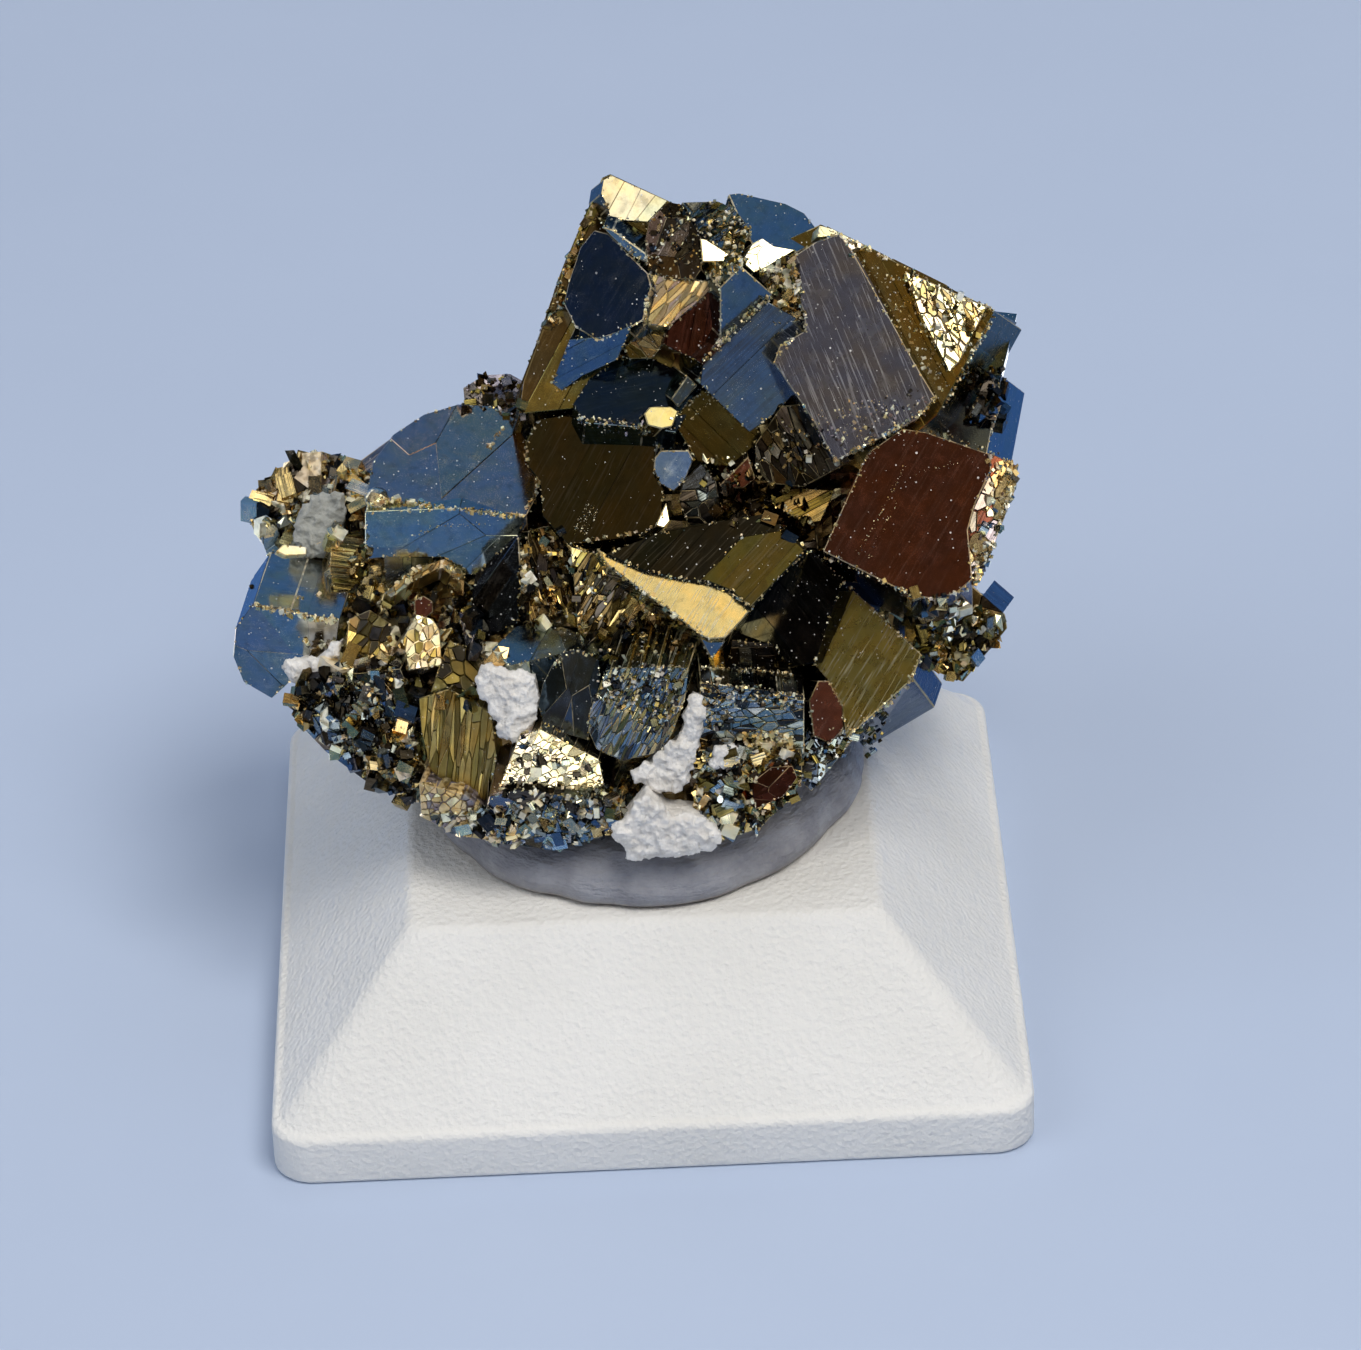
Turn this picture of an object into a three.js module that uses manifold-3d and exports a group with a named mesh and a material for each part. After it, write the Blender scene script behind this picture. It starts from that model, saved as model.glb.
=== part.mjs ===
// A pyrite specimen on its display stand: a cluster of intergrown brassy cubes with small lumps of
// white quartz between them, bedded in a pad of grey mineral putty on a square white plastic stand.
// Millimetres, +Z up, the origin at the middle of the stand's underside, the viewer towards -Y.
import * as THREE from "three";
import { ConvexGeometry } from "three/addons/geometries/ConvexGeometry.js";
import { mergeVertices } from "three/addons/utils/BufferGeometryUtils.js";
import Module from "manifold-3d";

const wasm = await Module();
wasm.setup();

// Driving dimensions
const STAND_WIDTH = 32; // a 1 1/4 inch square
const STAND_RIM = 2.34; // the upright edge round the stand
const STAND_HEIGHT = 8.57;
const PLATFORM_WIDTH = 19.8; // the flat square on top
const GAP = 0.3; // left between pieces that touch
const PUTTY_RADIUS = 9.4;
const PUTTY_TOP = 11;
const SPECIMEN_FOOT = PUTTY_TOP + GAP; // the level that the specimen is bedded at

// The specimen leans back and shows its crystals to a viewer in front and above. Its crystals are
// laid out on the viewer's picture: u mm to the right, v mm up, w mm nearer than the picture's plane.
const VIEW_ELEVATION = 33.2;
const VIEW_AZIMUTH = -0.4;
const VIEW_ROLL = -2.3;
const VIEW_DISTANCE = 251.5;
const PICTURE_CENTRE = new THREE.Vector3(1.97, 0, 14.23);

const radians = THREE.MathUtils.degToRad;
const toViewer = new THREE.Vector3(0, -1, 0)
  .applyAxisAngle(new THREE.Vector3(1, 0, 0), radians(-VIEW_ELEVATION))
  .applyAxisAngle(new THREE.Vector3(0, 0, 1), radians(VIEW_AZIMUTH));
const right = new THREE.Vector3(0, 0, 1).cross(toViewer).normalize();
const up = toViewer.clone().cross(right);
right.applyAxisAngle(toViewer, radians(VIEW_ROLL));
up.applyAxisAngle(toViewer, radians(VIEW_ROLL));
const eye = PICTURE_CENTRE.clone().addScaledVector(toViewer, VIEW_DISTANCE);

// A direction given as parts to the right, up and towards the viewer.
function direction(r, u, t) {
  return new THREE.Vector3()
    .addScaledVector(right, r)
    .addScaledVector(up, u)
    .addScaledVector(toViewer, t)
    .normalize();
}

// The point seen at u, v on the picture that lies w mm nearer than its plane.
function seen(u, v, w) {
  const ray = PICTURE_CENTRE.clone().addScaledVector(right, u).addScaledVector(up, v).sub(eye);
  return eye.clone().addScaledVector(ray, (VIEW_DISTANCE - w) / VIEW_DISTANCE);
}

// Crystals that show their faces to the viewer. outline is the face as the picture shows it, w the
// place of its middle, lean the degrees that it is turned to the right and up from the viewer, depth
// how far the crystal runs back, and flare how much wider it is at its back.
const CRYSTALS = [
  // the upper group, from the left
  { name: "crown", w: 5.4, lean: [4, 6], depth: 9, flare: 0,
    outline: [[-3.35, 21.3], [-3.0, 21.45], [-0.3, 20.2], [2.6, 18.6], [1.5, 12], [-6.9, 11.2],
      [-6.7, 12.6], [-5.8, 15.0], [-4.9, 17.6]] },
  { name: "crown_facet", w: 6.2, lean: [14, 10], depth: 2, flare: 0.1,
    outline: [[-3.4, 20.6], [-3.3, 21.2], [-2.95, 21.4], [-0.55, 20.3], [-1.4, 19.4], [-3.0, 19.5],
      [-3.1, 20.0]] },
  { name: "crown_shelf", w: 6.0, lean: [6, -12], depth: 2, flare: 0.05,
    outline: [[-3.5, 19.5], [-1.5, 19.5], [-1.4, 18.1], [-3.1, 19.0]] },
  { name: "navy_pentagon", w: 7.0, lean: [-22, 16], depth: 4, flare: 0.05,
    outline: [[-3.7, 19.05], [-3.1, 18.9], [-2.1, 17.9], [-1.4, 17.2], [-1.25, 16.6], [-1.6, 15.2],
      [-2.3, 14.8], [-3.6, 14.35], [-4.5, 14.9], [-5.0, 15.9], [-4.8, 16.8], [-4.3, 18.3]] },
  { name: "blue_wedge", w: 6.2, lean: [-12, -26], depth: 3, flare: 0.1,
    outline: [[-5.5, 12.5], [-5.1, 12.15], [-4.2, 12.8], [-2.7, 13.5], [-2.05, 15.0], [-3.1, 14.5],
      [-4.75, 14.35]] },
  { name: "dark_ledge", w: 5.9, lean: [4, 24], depth: 4, flare: 0,
    outline: [[-4.1, 10.8], [-1.6, 10.6], [-0.2, 10.4], [0.9, 12.2], [0.35, 12.8], [-1.2, 13.55],
      [-2.6, 13.6], [-3.9, 12.7], [-4.6, 11.6]] },
  { name: "dark_tooth", w: 7.0, lean: [-6, 8], depth: 4, flare: 0.15,
    outline: [[-0.5, 20.25], [0, 20.15], [0.85, 18.8], [0.9, 17.4], [0.6, 16.95], [-0.6, 16.95],
      [-1.4, 17.45], [-1.5, 18.7], [-1.3, 19.5]] },
  { name: "striped_top", w: 6.4, lean: [18, 28], depth: 5, flare: 0.1,
    outline: [[0.05, 20.25], [1.6, 20.3], [2.3, 20.0], [3.0, 19.1], [2.65, 18.1], [2.1, 18.0],
      [0.9, 18.8]] },
  { name: "blue_crown", w: 5.2, lean: [14, 36], depth: 6, flare: 0,
    outline: [[2.05, 20.6], [2.5, 20.65], [4.5, 20.2], [5.3, 19.8], [5.85, 19.1], [5.9, 18.6],
      [5.0, 18.1], [3.1, 18.4], [2.45, 19.7]] },
  { name: "crown_strip", w: 7.2, lean: [15, 12], depth: 1, flare: 0,
    outline: [[5.85, 18.75], [5.95, 19.25], [6.5, 19.1], [7.9, 18.4], [7.3, 18.2], [6.8, 18.85]] },
  { name: "bright_left", w: 7.3, lean: [16, 11], depth: 2, flare: 0.2,
    outline: [[0.85, 18.7], [1.1, 18.65], [2.2, 17.95], [2, 17.7], [0.95, 17.7]] },
  { name: "bright_right", w: 7.2, lean: [15, 12], depth: 2, flare: 0.2,
    outline: [[2.65, 17.7], [3.1, 18.5], [3.5, 18.7], [4, 18.35], [4.9, 18.2], [3.7, 17.5],
      [3.15, 17.25]] },
  { name: "beige_face", w: 7.3, lean: [6, 14], depth: 3, flare: 0.1,
    outline: [[-1.3, 17.2], [-0.6, 17.0], [1.6, 16.85], [0.9, 16.1], [-0.5, 14.9], [-1.4, 15.0],
      [-1.5, 15.7], [-1.2, 16.5]] },
  { name: "red_brown_face", w: 7.0, lean: [12, -4], depth: 3, flare: 0.05,
    outline: [[1.25, 16.5], [1.7, 16.5], [1.7, 13.9], [0.8, 13.5], [0.0, 13.8], [-0.75, 14.2],
      [-0.5, 14.85], [0.9, 16.1]] },
  { name: "striped_gold", w: 6.7, lean: [-6, -10], depth: 3, flare: 0.1,
    outline: [[-1.6, 15.05], [-0.55, 14.95], [-0.75, 14.2], [-1.2, 13.55], [-2.2, 13.55], [-2.4, 14.0]] },
  { name: "blue_cube", w: 7.6, lean: [18, -18], depth: 4.6, flare: 0,
    outline: [[0.85, 12.45], [0.95, 13.25], [3.75, 15.95], [5.3, 15.1], [5.3, 12.6], [4.25, 11.35],
      [2.95, 10.4]] },
  { name: "pit_wall", w: 7.4, lean: [-8, 12], depth: 3, flare: 0.1,
    outline: [[3.2, 17.3], [4.9, 18.1], [5.2, 16.4], [5.2, 15.2], [4.0, 15.0], [3.9, 16.3]] },
  { name: "olive_cube", w: 6.4, lean: [11, -11], depth: 4.4, flare: 0,
    outline: [[-0.35, 10.9], [0.95, 12.2], [3.4, 10.6], [3.5, 10.1], [2.1, 8.95], [0.75, 9.15]] },
  { name: "blue_sliver", w: 6.6, lean: [18, -16], depth: 3, flare: 0,
    outline: [[-0.4, 11.8], [0.3, 12.8], [0.75, 12.4], [-0.1, 11.45]] },
  { name: "cream_facet", w: 7.0, lean: [15, 12], depth: 2.5, flare: 0.1,
    outline: [[-1.55, 11.2], [-1.3, 11.5], [-0.4, 11.5], [-0.1, 11.3], [-0.35, 10.65],
      [-0.8, 10.55], [-1.4, 10.7]] },
  { name: "olive_slot", w: 5.9, lean: [0, 8], depth: 2, flare: 0.1,
    outline: [[-1.1, 10.2], [0.0, 9.95], [0.25, 9.65], [-0.95, 9.65]] },
  { name: "blue_button", w: 6.2, lean: [-2, -26], depth: 3, flare: 0,
    outline: [[-1.1, 9.3], [-0.85, 9.6], [0.35, 9.6], [0.55, 9.2], [0.2, 8.35], [-0.3, 7.85],
      [-0.9, 8.2], [-1.15, 8.8]] },
  { name: "brown_plate", w: 5.6, lean: [-4, 4], depth: 6, flare: 0,
    outline: [[-6.65, 9.9], [-6.1, 10.95], [-5.0, 11.1], [-1.7, 10.6], [-1.1, 9.9], [-1.1, 8.5],
      [-0.7, 7.9], [-0.9, 6.6], [-1.3, 6.2], [-2.5, 5.85], [-4.8, 5.6], [-5.9, 6.8], [-6.0, 8.3],
      [-6.5, 8.9]] },
  { name: "white_flash", w: 6.0, lean: [15, 12], depth: 2, flare: 0.2,
    outline: [[-0.6, 7.4], [-0.45, 6.6], [-0.7, 6.3], [-1.05, 6.4]] },
  { name: "dark_facet", w: 5.5, lean: [-6, -12], depth: 4, flare: 0,
    outline: [[0.1, 8.3], [0.9, 9.1], [1.5, 8.3], [1.75, 7.1], [1.4, 6.4], [0.3, 6.5], [-0.1, 7.5]] },
  { name: "copper_facet", w: 6.2, lean: [2, -12], depth: 3, flare: 0.1,
    outline: [[1.65, 8.1], [2.9, 9.35], [3.2, 8.4], [2.7, 8.0], [2.0, 8.0]] },
  { name: "dark_block", w: 6.8, lean: [-14, -8], depth: 4, flare: 0,
    outline: [[3.2, 9.9], [4.3, 11.5], [5.1, 11.6], [7.3, 9.15], [5.25, 8.05], [3.8, 8.2], [3.2, 8.9]] },
  { name: "gold_slot", w: 5.6, lean: [4, 10], depth: 3, flare: 0,
    outline: [[3.7, 7.4], [5.0, 8.0], [6.6, 7.9], [6.0, 6.6], [5.4, 6.5]] },
  { name: "dark_gully", w: 4.8, lean: [0, 16], depth: 3, flare: 0,
    outline: [[1.6, 8.1], [3.4, 7.9], [5.8, 6.4], [5.9, 5.4], [2.2, 5.6], [1.4, 6.4]] },
  { name: "grey_slab", w: 8.2, lean: [2, 3], depth: 6, flare: 0,
    outline: [[4.65, 17.8], [5.8, 18.55], [6.8, 18.9], [7.4, 18.1], [10.0, 13.4], [10.9, 11.9],
      [10.15, 10.95], [6.6, 9.15], [5.75, 10.8], [4.0, 13.4], [4.25, 14.1], [5.35, 14.75],
      [5.3, 15.5], [4.9, 16.6]] },
  { name: "gold_wall", w: 6.2, lean: [-11, 2], depth: 8.5, flare: 0,
    outline: [[5.7, 19.15], [6.0, 19.3], [13.45, 15.6], [11.0, 11.15], [8, 8.6], [3.6, 11],
      [3.6, 18.2]] },
  { name: "gold_swirl", w: 7.3, lean: [-11, 2], depth: 1.2, flare: 0.05,
    outline: [[9.6, 17.3], [13.1, 15.75], [11.9, 13.4], [11.5, 13], [10.8, 14.4], [10.2, 15.6]] },
  { name: "right_step", w: 2.6, lean: [-12, 4], depth: 6.5, flare: 0,
    outline: [[10.5, 13.2], [13.75, 12.85], [13.1, 9.4], [10.4, 9.4]] },
  { name: "right_pit", w: 4.2, lean: [4, 6], depth: 3, flare: 0.1,
    outline: [[12.3, 11.1], [13.25, 13.1], [13.75, 11.6], [13.5, 10.9]] },
  { name: "brown_slab", w: 9.0, lean: [-3, 10], depth: 6.5, flare: 0,
    outline: [[6.1, 5.3], [8, 9.5], [9.5, 10.55], [10.5, 10.4], [13.3, 9.45], [13.3, 8.8],
      [12.6, 7.3], [12.3, 6.2], [12.5, 4.1], [11.8, 3.5], [10.9, 3.25], [9.9, 3.4]] },
  { name: "brown_slab_edge", w: 8.2, lean: [20, 10], depth: 5.6, flare: 0,
    outline: [[11.6, 9.6], [13.3, 9.5], [14.45, 8.95], [14.4, 8.1], [12.85, 4.0], [11.6, 4.4]] },
  { name: "tan_plate", w: 7.6, lean: [5, 15], depth: 4.4, flare: 0,
    outline: [[-3.6, 5.45], [-3.1, 4.7], [0.9, 1.7], [1.25, 1.55], [1.9, 1.6], [2.25, 1.95],
      [5.45, 5.45], [3.6, 6.9], [-0.9, 6.1]] },
  { name: "dark_cube", w: 6.4, lean: [-24, 2], depth: 5, flare: 0,
    outline: [[5.5, 5.4], [6.95, 4.05], [5.75, 0.55], [4.7, 0.3], [4.0, 1.3], [2.4, 1.4], [2.1, 2.0],
      [3.9, 3.9]] },
  { name: "olive_slab", w: 6.6, lean: [-9, 9], depth: 8, flare: 0,
    outline: [[6.95, 4.05], [10.3, 0.9], [9.95, -0.15], [7.1, -2.7], [6.9, -1.3], [6.3, -0.2],
      [5.7, 0.5]] },
  { name: "rust_facet", w: 6.7, lean: [6, 2], depth: 2.5, flare: 0.1,
    outline: [[5.5, -1.1], [5.9, -0.25], [6.35, -0.25], [6.95, -1.3], [7.0, -2.3], [6.4, -2.95],
      [5.7, -2.6]] },
  { name: "olive_foot", w: 6.0, lean: [-6, -20], depth: 4, flare: 0,
    outline: [[5.4, -2.4], [7.3, -2.3], [8.4, -1.5], [6.9, -3.4], [5.6, -5.0], [4.8, -4.2]] },
  // the left group
  { name: "left_cube", w: 1.9, lean: [-4, 44], depth: 4.4, flare: 0,
    outline: [[-13.45, 7.55], [-13.2, 9.1], [-12.3, 10.3], [-11.0, 11.15], [-9.5, 11.6], [-8.0, 11.5],
      [-7.2, 11.1], [-6.6, 10.0], [-6.5, 8.9], [-6.05, 8.3], [-6.2, 7.6], [-6.6, 6.85]] },
  { name: "left_cube_front", w: 3.5, lean: [-6, -30], depth: 3.6, flare: 0,
    outline: [[-13.5, 7], [-9.4, 7.15], [-6.65, 6.8], [-7, 5.9], [-8, 4.95], [-8.8, 4.3],
      [-9.4, 4.3], [-10.1, 5.05], [-12.6, 5.05], [-13.5, 4.95]] },
  { name: "left_block", w: 1.4, lean: [-8, -32], depth: 4.4, flare: 0,
    outline: [[-18.3, 3.05], [-16.7, 2.75], [-14.6, 2.35], [-14.75, 1.4], [-16.4, 0.0], [-17.5, -1.0],
      [-18.7, -0.3], [-19.15, 0.8], [-19.05, 2.0]] },
  { name: "left_ladder", w: 0.2, lean: [18, 18], depth: 4, flare: 0,
    outline: [[-14.9, 6.2], [-13.6, 6.0], [-13.3, 4.8], [-14.0, 2.6], [-14.7, 2.4], [-15.0, 4.6]] },
  { name: "left_shelf", w: 1.8, lean: [0, -30], depth: 4, flare: 0,
    outline: [[-12.7, 5.1], [-10.2, 5.0], [-11.2, 4.2], [-12.6, 3.6]] },
  { name: "navy_wedge", w: 4.6, lean: [-24, -8], depth: 4, flare: 0,
    outline: [[-6.95, 6.05], [-8.8, 4.3], [-9.0, 2.7], [-8.3, 1.65], [-7.0, 2.2], [-6.8, 3.6]] },
  { name: "blue_cap", w: 5.8, lean: [-4, 48], depth: 3.5, flare: 0,
    outline: [[-8.1, 1.1], [-7.0, 2.1], [-5.8, 2.3], [-4.3, 1.8], [-4.0, 1.3], [-5.2, 0.9],
      [-7.3, 0.4]] },
  { name: "split_rib", w: 5.0, lean: [10, 4], depth: 3.5, flare: 0,
    outline: [[-6.5, 6.2], [-5.6, 6.4], [-4.9, 5.4], [-4.6, 3.3], [-4.3, 2.0], [-6.6, 2.3],
      [-6.8, 4.6]] },
  { name: "ribbed_bank", w: 5.8, lean: [-6, -14], depth: 4, flare: 0,
    outline: [[-4.7, 5.5], [-3.6, 5.2], [0.5, 2.0], [0.9, 1.2], [-0.6, 0.6], [-3.2, 0.6], [-4.4, 1.9]] },
  { name: "bright_lump", w: 4.5, lean: [15, 11], depth: 2.5, flare: 0.1,
    outline: [[-11.9, 1.5], [-11.3, 2.6], [-10.6, 2.4], [-10.3, 1.9], [-10.2, 0.4], [-11.6, 0.2]] },
  { name: "left_ribs", w: 4.3, lean: [-18, -12], depth: 3, flare: 0,
    outline: [[-13.6, -0.4], [-12.2, 0], [-11.5, -1.4], [-11.25, -3.4], [-11.5, -4.9],
      [-12.7, -3.9], [-13.4, -2.6]] },
  { name: "left_knob", w: 3.5, lean: [6, 16], depth: 2.5, flare: 0.1,
    outline: [[-14.2, 2.4], [-13.3, 2.8], [-12.4, 2.2], [-12.5, 0.9], [-13.5, 0.4], [-14.3, 1.2]] },
  { name: "left_saddle", w: 4.7, lean: [4, 20], depth: 2.5, flare: 0.1,
    outline: [[-10.4, 0.2], [-9.9, 1.5], [-8.9, 1], [-8.5, 0], [-9.3, -1.1], [-10.7, -0.8]] },
  { name: "left_keel", w: 3.3, lean: [-14, -32], depth: 3, flare: 0,
    outline: [[-16.7, -1.7], [-15.2, -1.5], [-13.4, -2.9], [-11.7, -4.4], [-11.3, -5.5],
      [-13.3, -4.7], [-15.2, -3.3]] },
  { name: "red_facet", w: 3.8, lean: [6, 6], depth: 2, flare: 0.1,
    outline: [[-11.4, 3.2], [-11, 3.4], [-10.6, 3.15], [-10.6, 2.7], [-11, 2.4], [-11.4, 2.6]] },
  // the lower group
  { name: "blue_oval", w: 6.9, lean: [-16, -14], depth: 4, flare: 0,
    outline: [[-5.5, 0.4], [-5.0, 0.95], [-4.3, 1.1], [-3.5, 0.6], [-3.5, -0.6], [-3.85, -1.6],
      [-3.95, -2.8], [-5.0, -2.5], [-5.9, -2.0], [-6.1, -1.3], [-5.9, -0.4]] },
  { name: "gold_barrel", w: 8.2, lean: [-8, -24], depth: 5, flare: 0,
    outline: [[-3.9, -1.6], [-3.4, -0.3], [-3, 0.3], [-0.6, 0.4], [0.35, 0.3], [0.2, -1],
      [-0.35, -2.5], [-0.8, -3.3], [-2.5, -3.7], [-3.6, -3.2], [-3.95, -2.4]] },
  { name: "ribbed_block", w: 7.8, lean: [3, -28], depth: 4.6, flare: 0,
    outline: [[0.85, -0.3], [5.3, -0.85], [5.3, -3.4], [0.7, -2.9]] },
  { name: "ribbed_step", w: 6.9, lean: [2, -28], depth: 4.6, flare: 0,
    outline: [[1.1, 0.4], [4.75, 0.1], [4.8, -1.2], [1.0, -1.0]] },
  { name: "ribbed_top", w: 6.0, lean: [2, -26], depth: 4, flare: 0,
    outline: [[2.2, 1.5], [4.1, 1.3], [4.3, 0.0], [2.0, 0.2]] },
  { name: "olive_pane", w: 5.2, lean: [-10, -14], depth: 4, flare: 0,
    outline: [[-11.2, -1.0], [-9.9, -0.6], [-8.1, -1.6], [-7.9, -3.4], [-8.05, -5.7], [-8.9, -5.7],
      [-10.7, -4.1], [-11.1, -2.4]] },
  { name: "frosted_bank", w: 7.0, lean: [-4, -16], depth: 4, flare: 0,
    outline: [[-6.9, -2.6], [-6.0, -2.3], [-3.5, -3.6], [-3.3, -4.6], [-3.9, -5.6], [-5.3, -5.9],
      [-7.8, -4.9]] },
  { name: "blue_foot", w: 6.6, lean: [-6, -34], depth: 4, flare: 0,
    outline: [[-8.2, -5.2], [-7.0, -4.9], [-3.8, -5.3], [-2.6, -5.6], [-2.5, -6.3], [-3.8, -7.1],
      [-5.6, -7.5], [-7.9, -7.2], [-8.5, -6.6]] },
  { name: "pale_foot", w: 5.2, lean: [-10, -26], depth: 4, flare: 0,
    outline: [[-11.2, -4.6], [-9.2, -5.1], [-8.2, -6.0], [-8.2, -7.1], [-9.4, -6.9], [-11.1, -6.1]] },
  { name: "gritty_foot", w: 7.0, lean: [2, -24], depth: 4, flare: 0,
    outline: [[0.5, -3.2], [3.0, -3.2], [5.2, -3.6], [5.2, -4.6], [3.4, -6.6], [2.0, -7.0],
      [0.6, -6.2]] },
  { name: "rust_foot", w: 8.0, lean: [14, -10], depth: 2.5, flare: 0.1,
    outline: [[3.1, -5], [3.2, -4.5], [3.9, -3.95], [4.8, -3.9], [5, -4.4], [4.4, -5.2],
      [3.2, -5.75]] },
  { name: "left_rubble", w: 3.6, lean: [-14, -22], depth: 4, flare: 0,
    outline: [[-16.4, -0.2], [-12.0, 0.3], [-11.0, -2.0], [-10.8, -4.8], [-11.6, -5.4], [-13.6, -4.0],
      [-15.2, -2.6], [-16.9, -1.3]] },
  // behind, out of the picture's focus
  { name: "back_left_crust", w: -3.6, lean: [-12, 20], depth: 5, flare: 0,
    outline: [[-18.7, 7.3], [-17.8, 8.4], [-16.2, 9.3], [-15.4, 9.6], [-14.2, 9.2], [-13.4, 7.2],
      [-14.0, 5.2], [-17.2, 5.1], [-18.2, 6.0]] },
  { name: "back_left_block", w: -3.0, lean: [-6, -24], depth: 4, flare: 0,
    outline: [[-18.2, 6.4], [-16.6, 6.6], [-16.4, 4.8], [-17.6, 4.9]] },
  { name: "back_peak", w: -1.8, lean: [-10, 26], depth: 5, flare: 0,
    outline: [[-9.3, 12.3], [-8.4, 12.85], [-7.3, 12.9], [-6.4, 12.4], [-6.6, 10.9], [-9.2, 11.1]] },
  { name: "back_right_block", w: -2.2, lean: [8, -10], depth: 6, flare: 0,
    outline: [[9.6, 3.9], [12.4, 3.9], [13.9, 2.6], [14.0, 2.0], [12.1, -0.3], [10.5, 0.3],
      [9.6, 1.4]] },
];

// Crystals of the sides and the back, which the viewer in front doesn't see: the middle as u, v, w,
// the edge lengths, and the turn in degrees about X, Y and Z.
const BACK_CRYSTALS = [
  { name: "back_roof", at: [2.6, 14.8, -4.6], size: [6.2, 5.4, 5.8], turn: [28, -10, 20] },
  { name: "back_shoulder", at: [8.6, 12.0, -5.4], size: [5.6, 5.2, 5.4], turn: [10, 24, -14] },
  { name: "back_crown", at: [-1.8, 15.4, -3.4], size: [4.2, 4.0, 4.4], turn: [-16, 22, 8] },
  { name: "back_block", at: [-3.6, 9.6, -6.2], size: [5.0, 4.6, 5.0], turn: [34, 12, -20] },
  { name: "back_panel", at: [0.4, 11.2, -6.4], size: [6.2, 4.6, 6.0], turn: [-8, 18, 12] },
  { name: "back_wedge", at: [5.2, 9.4, -7.6], size: [5.4, 4.6, 5.0], turn: [22, -28, 16] },
  { name: "back_corner", at: [10.2, 8.4, -5.8], size: [4.6, 4.4, 4.6], turn: [-24, 10, 30] },
  { name: "back_hip", at: [9.2, 4.4, -5.6], size: [4.2, 4.0, 4.0], turn: [18, 30, -10] },
  { name: "back_low_right", at: [5.0, 5.6, -7.6], size: [5.0, 4.4, 4.6], turn: [-18, 14, 24] },
  { name: "back_low_middle", at: [-0.8, 6.4, -8.0], size: [5.4, 4.8, 5.0], turn: [26, 8, -16] },
  { name: "back_low_left", at: [-7.4, 6.4, -6.4], size: [5.0, 4.4, 4.8], turn: [-10, 32, 10] },
  { name: "back_left_cube", at: [-11.8, 7.0, -3.4], size: [4.4, 4.2, 4.2], turn: [14, -22, 28] },
  { name: "back_left_low", at: [-14.2, 3.6, -3.2], size: [3.8, 3.6, 3.6], turn: [30, 14, -24] },
  { name: "back_foot", at: [1.6, 2.6, -7.8], size: [4.2, 3.8, 3.6], turn: [12, -16, 34] },
  { name: "back_foot_left", at: [-5.4, 3.4, -7.4], size: [4.0, 3.6, 3.6], turn: [-14, 20, 18] },
  { name: "back_nub", at: [2.4, 11.4, -8.2], size: [3.0, 2.8, 3.0], turn: [36, 18, 6] },
  { name: "back_spur", at: [-3.6, 12.8, -7.4], size: [2.8, 3.0, 2.8], turn: [12, 38, -22] },
];

// The rough pyrite behind and between the crystals, as corners of solid lumps.
const LOWER_MASS = [
  [-8, -6.6, 11.3], [-3, -8.2, 11.3], [3, -8.0, 11.3], [6, -6.0, 11.9], [8, 0, 12.0], [5, 6, 11.3],
  [-3, 6.6, 11.3], [-9, 3, 11.8], [-14.6, -1.6, 14.6], [-14.6, 3.0, 16.6], [-12, -4.6, 13.6],
  [11.4, -1.2, 15.6], [11.6, 4.2, 17.6], [6, 9.4, 18], [-4, 9.6, 18], [-10.6, 6.6, 17.4],
  [-11, 3.6, 19.8], [-10.4, -0.2, 18.0], [-6, -2.2, 18.4], [0, -4.0, 18.2], [7, -3.4, 17.6],
  [-4, 6, 22], [7, 6, 22],
];
const UPPER_MASS = [
  [-6.4, 11, 4.4], [-5.2, 15, 4.4], [-3.2, 20, 4.2], [2.4, 19.4, 3.8], [6.0, 18.2, 4.4],
  [11.8, 15.2, 3.8], [10.4, 9, 4.2], [10.2, 4, 3.6], [0, 4, 4.4], [-5.4, 5.4, 3.8],
  [-6.6, 9, -4.4], [-3, 18.6, -3.4], [4.4, 18.6, -4.4], [12.4, 13.6, -3.6], [12.6, 4, -5.4],
  [-6.6, 3, -6.0], [3, 14.5, -7.4], [9.6, 8.6, -8.0],
];

// Beds of small crystals that fill the hollows: the middle on the picture, the spread, how many,
// and their edge lengths.
const GRIT_BEDS = [
  { u: -13.2, v: -1.8, w: 4.6, spread: [2.6, 1.7], lean: [-14, -22], count: 3, size: [1.0, 1.9] },
  { u: -5.4, v: -4.3, w: 7.4, spread: [1.7, 1.3], lean: [-4, -16], count: 5, size: [0.9, 1.5] },
  { u: -5.6, v: -6.5, w: 7.2, spread: [2.6, 0.7], lean: [-6, -34], count: 4, size: [0.9, 1.4] },
  { u: 2.2, v: -4.9, w: 7.5, spread: [1.6, 1.2], lean: [2, -24], count: 6, size: [0.9, 1.5] },
  { u: -11.2, v: 3.6, w: 2.6, spread: [1.6, 1.1], lean: [0, 0], count: 3, size: [0.9, 1.6] },
  { u: -16.3, v: 8.0, w: -2.6, spread: [1.7, 0.9], lean: [-12, 20], count: 6, size: [1.0, 1.6] },
  { u: -5.6, v: 4.4, w: 5.8, spread: [0.8, 1.3], lean: [10, 4], count: 4, size: [0.8, 1.3] },
  { u: 1.5, v: 6.0, w: 6.0, spread: [1.5, 0.7], lean: [0, 16], count: 4, size: [0.8, 1.2] },
  { u: 1.5, v: 9.1, w: 6.4, spread: [0.4, 0.4], lean: [0, 0], count: 2, size: [0.7, 1.0] },
  { u: 12.2, v: 2.0, w: -1.4, spread: [1.2, 1.2], lean: [8, -10], count: 5, size: [1.0, 2.0] },
];

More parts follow.
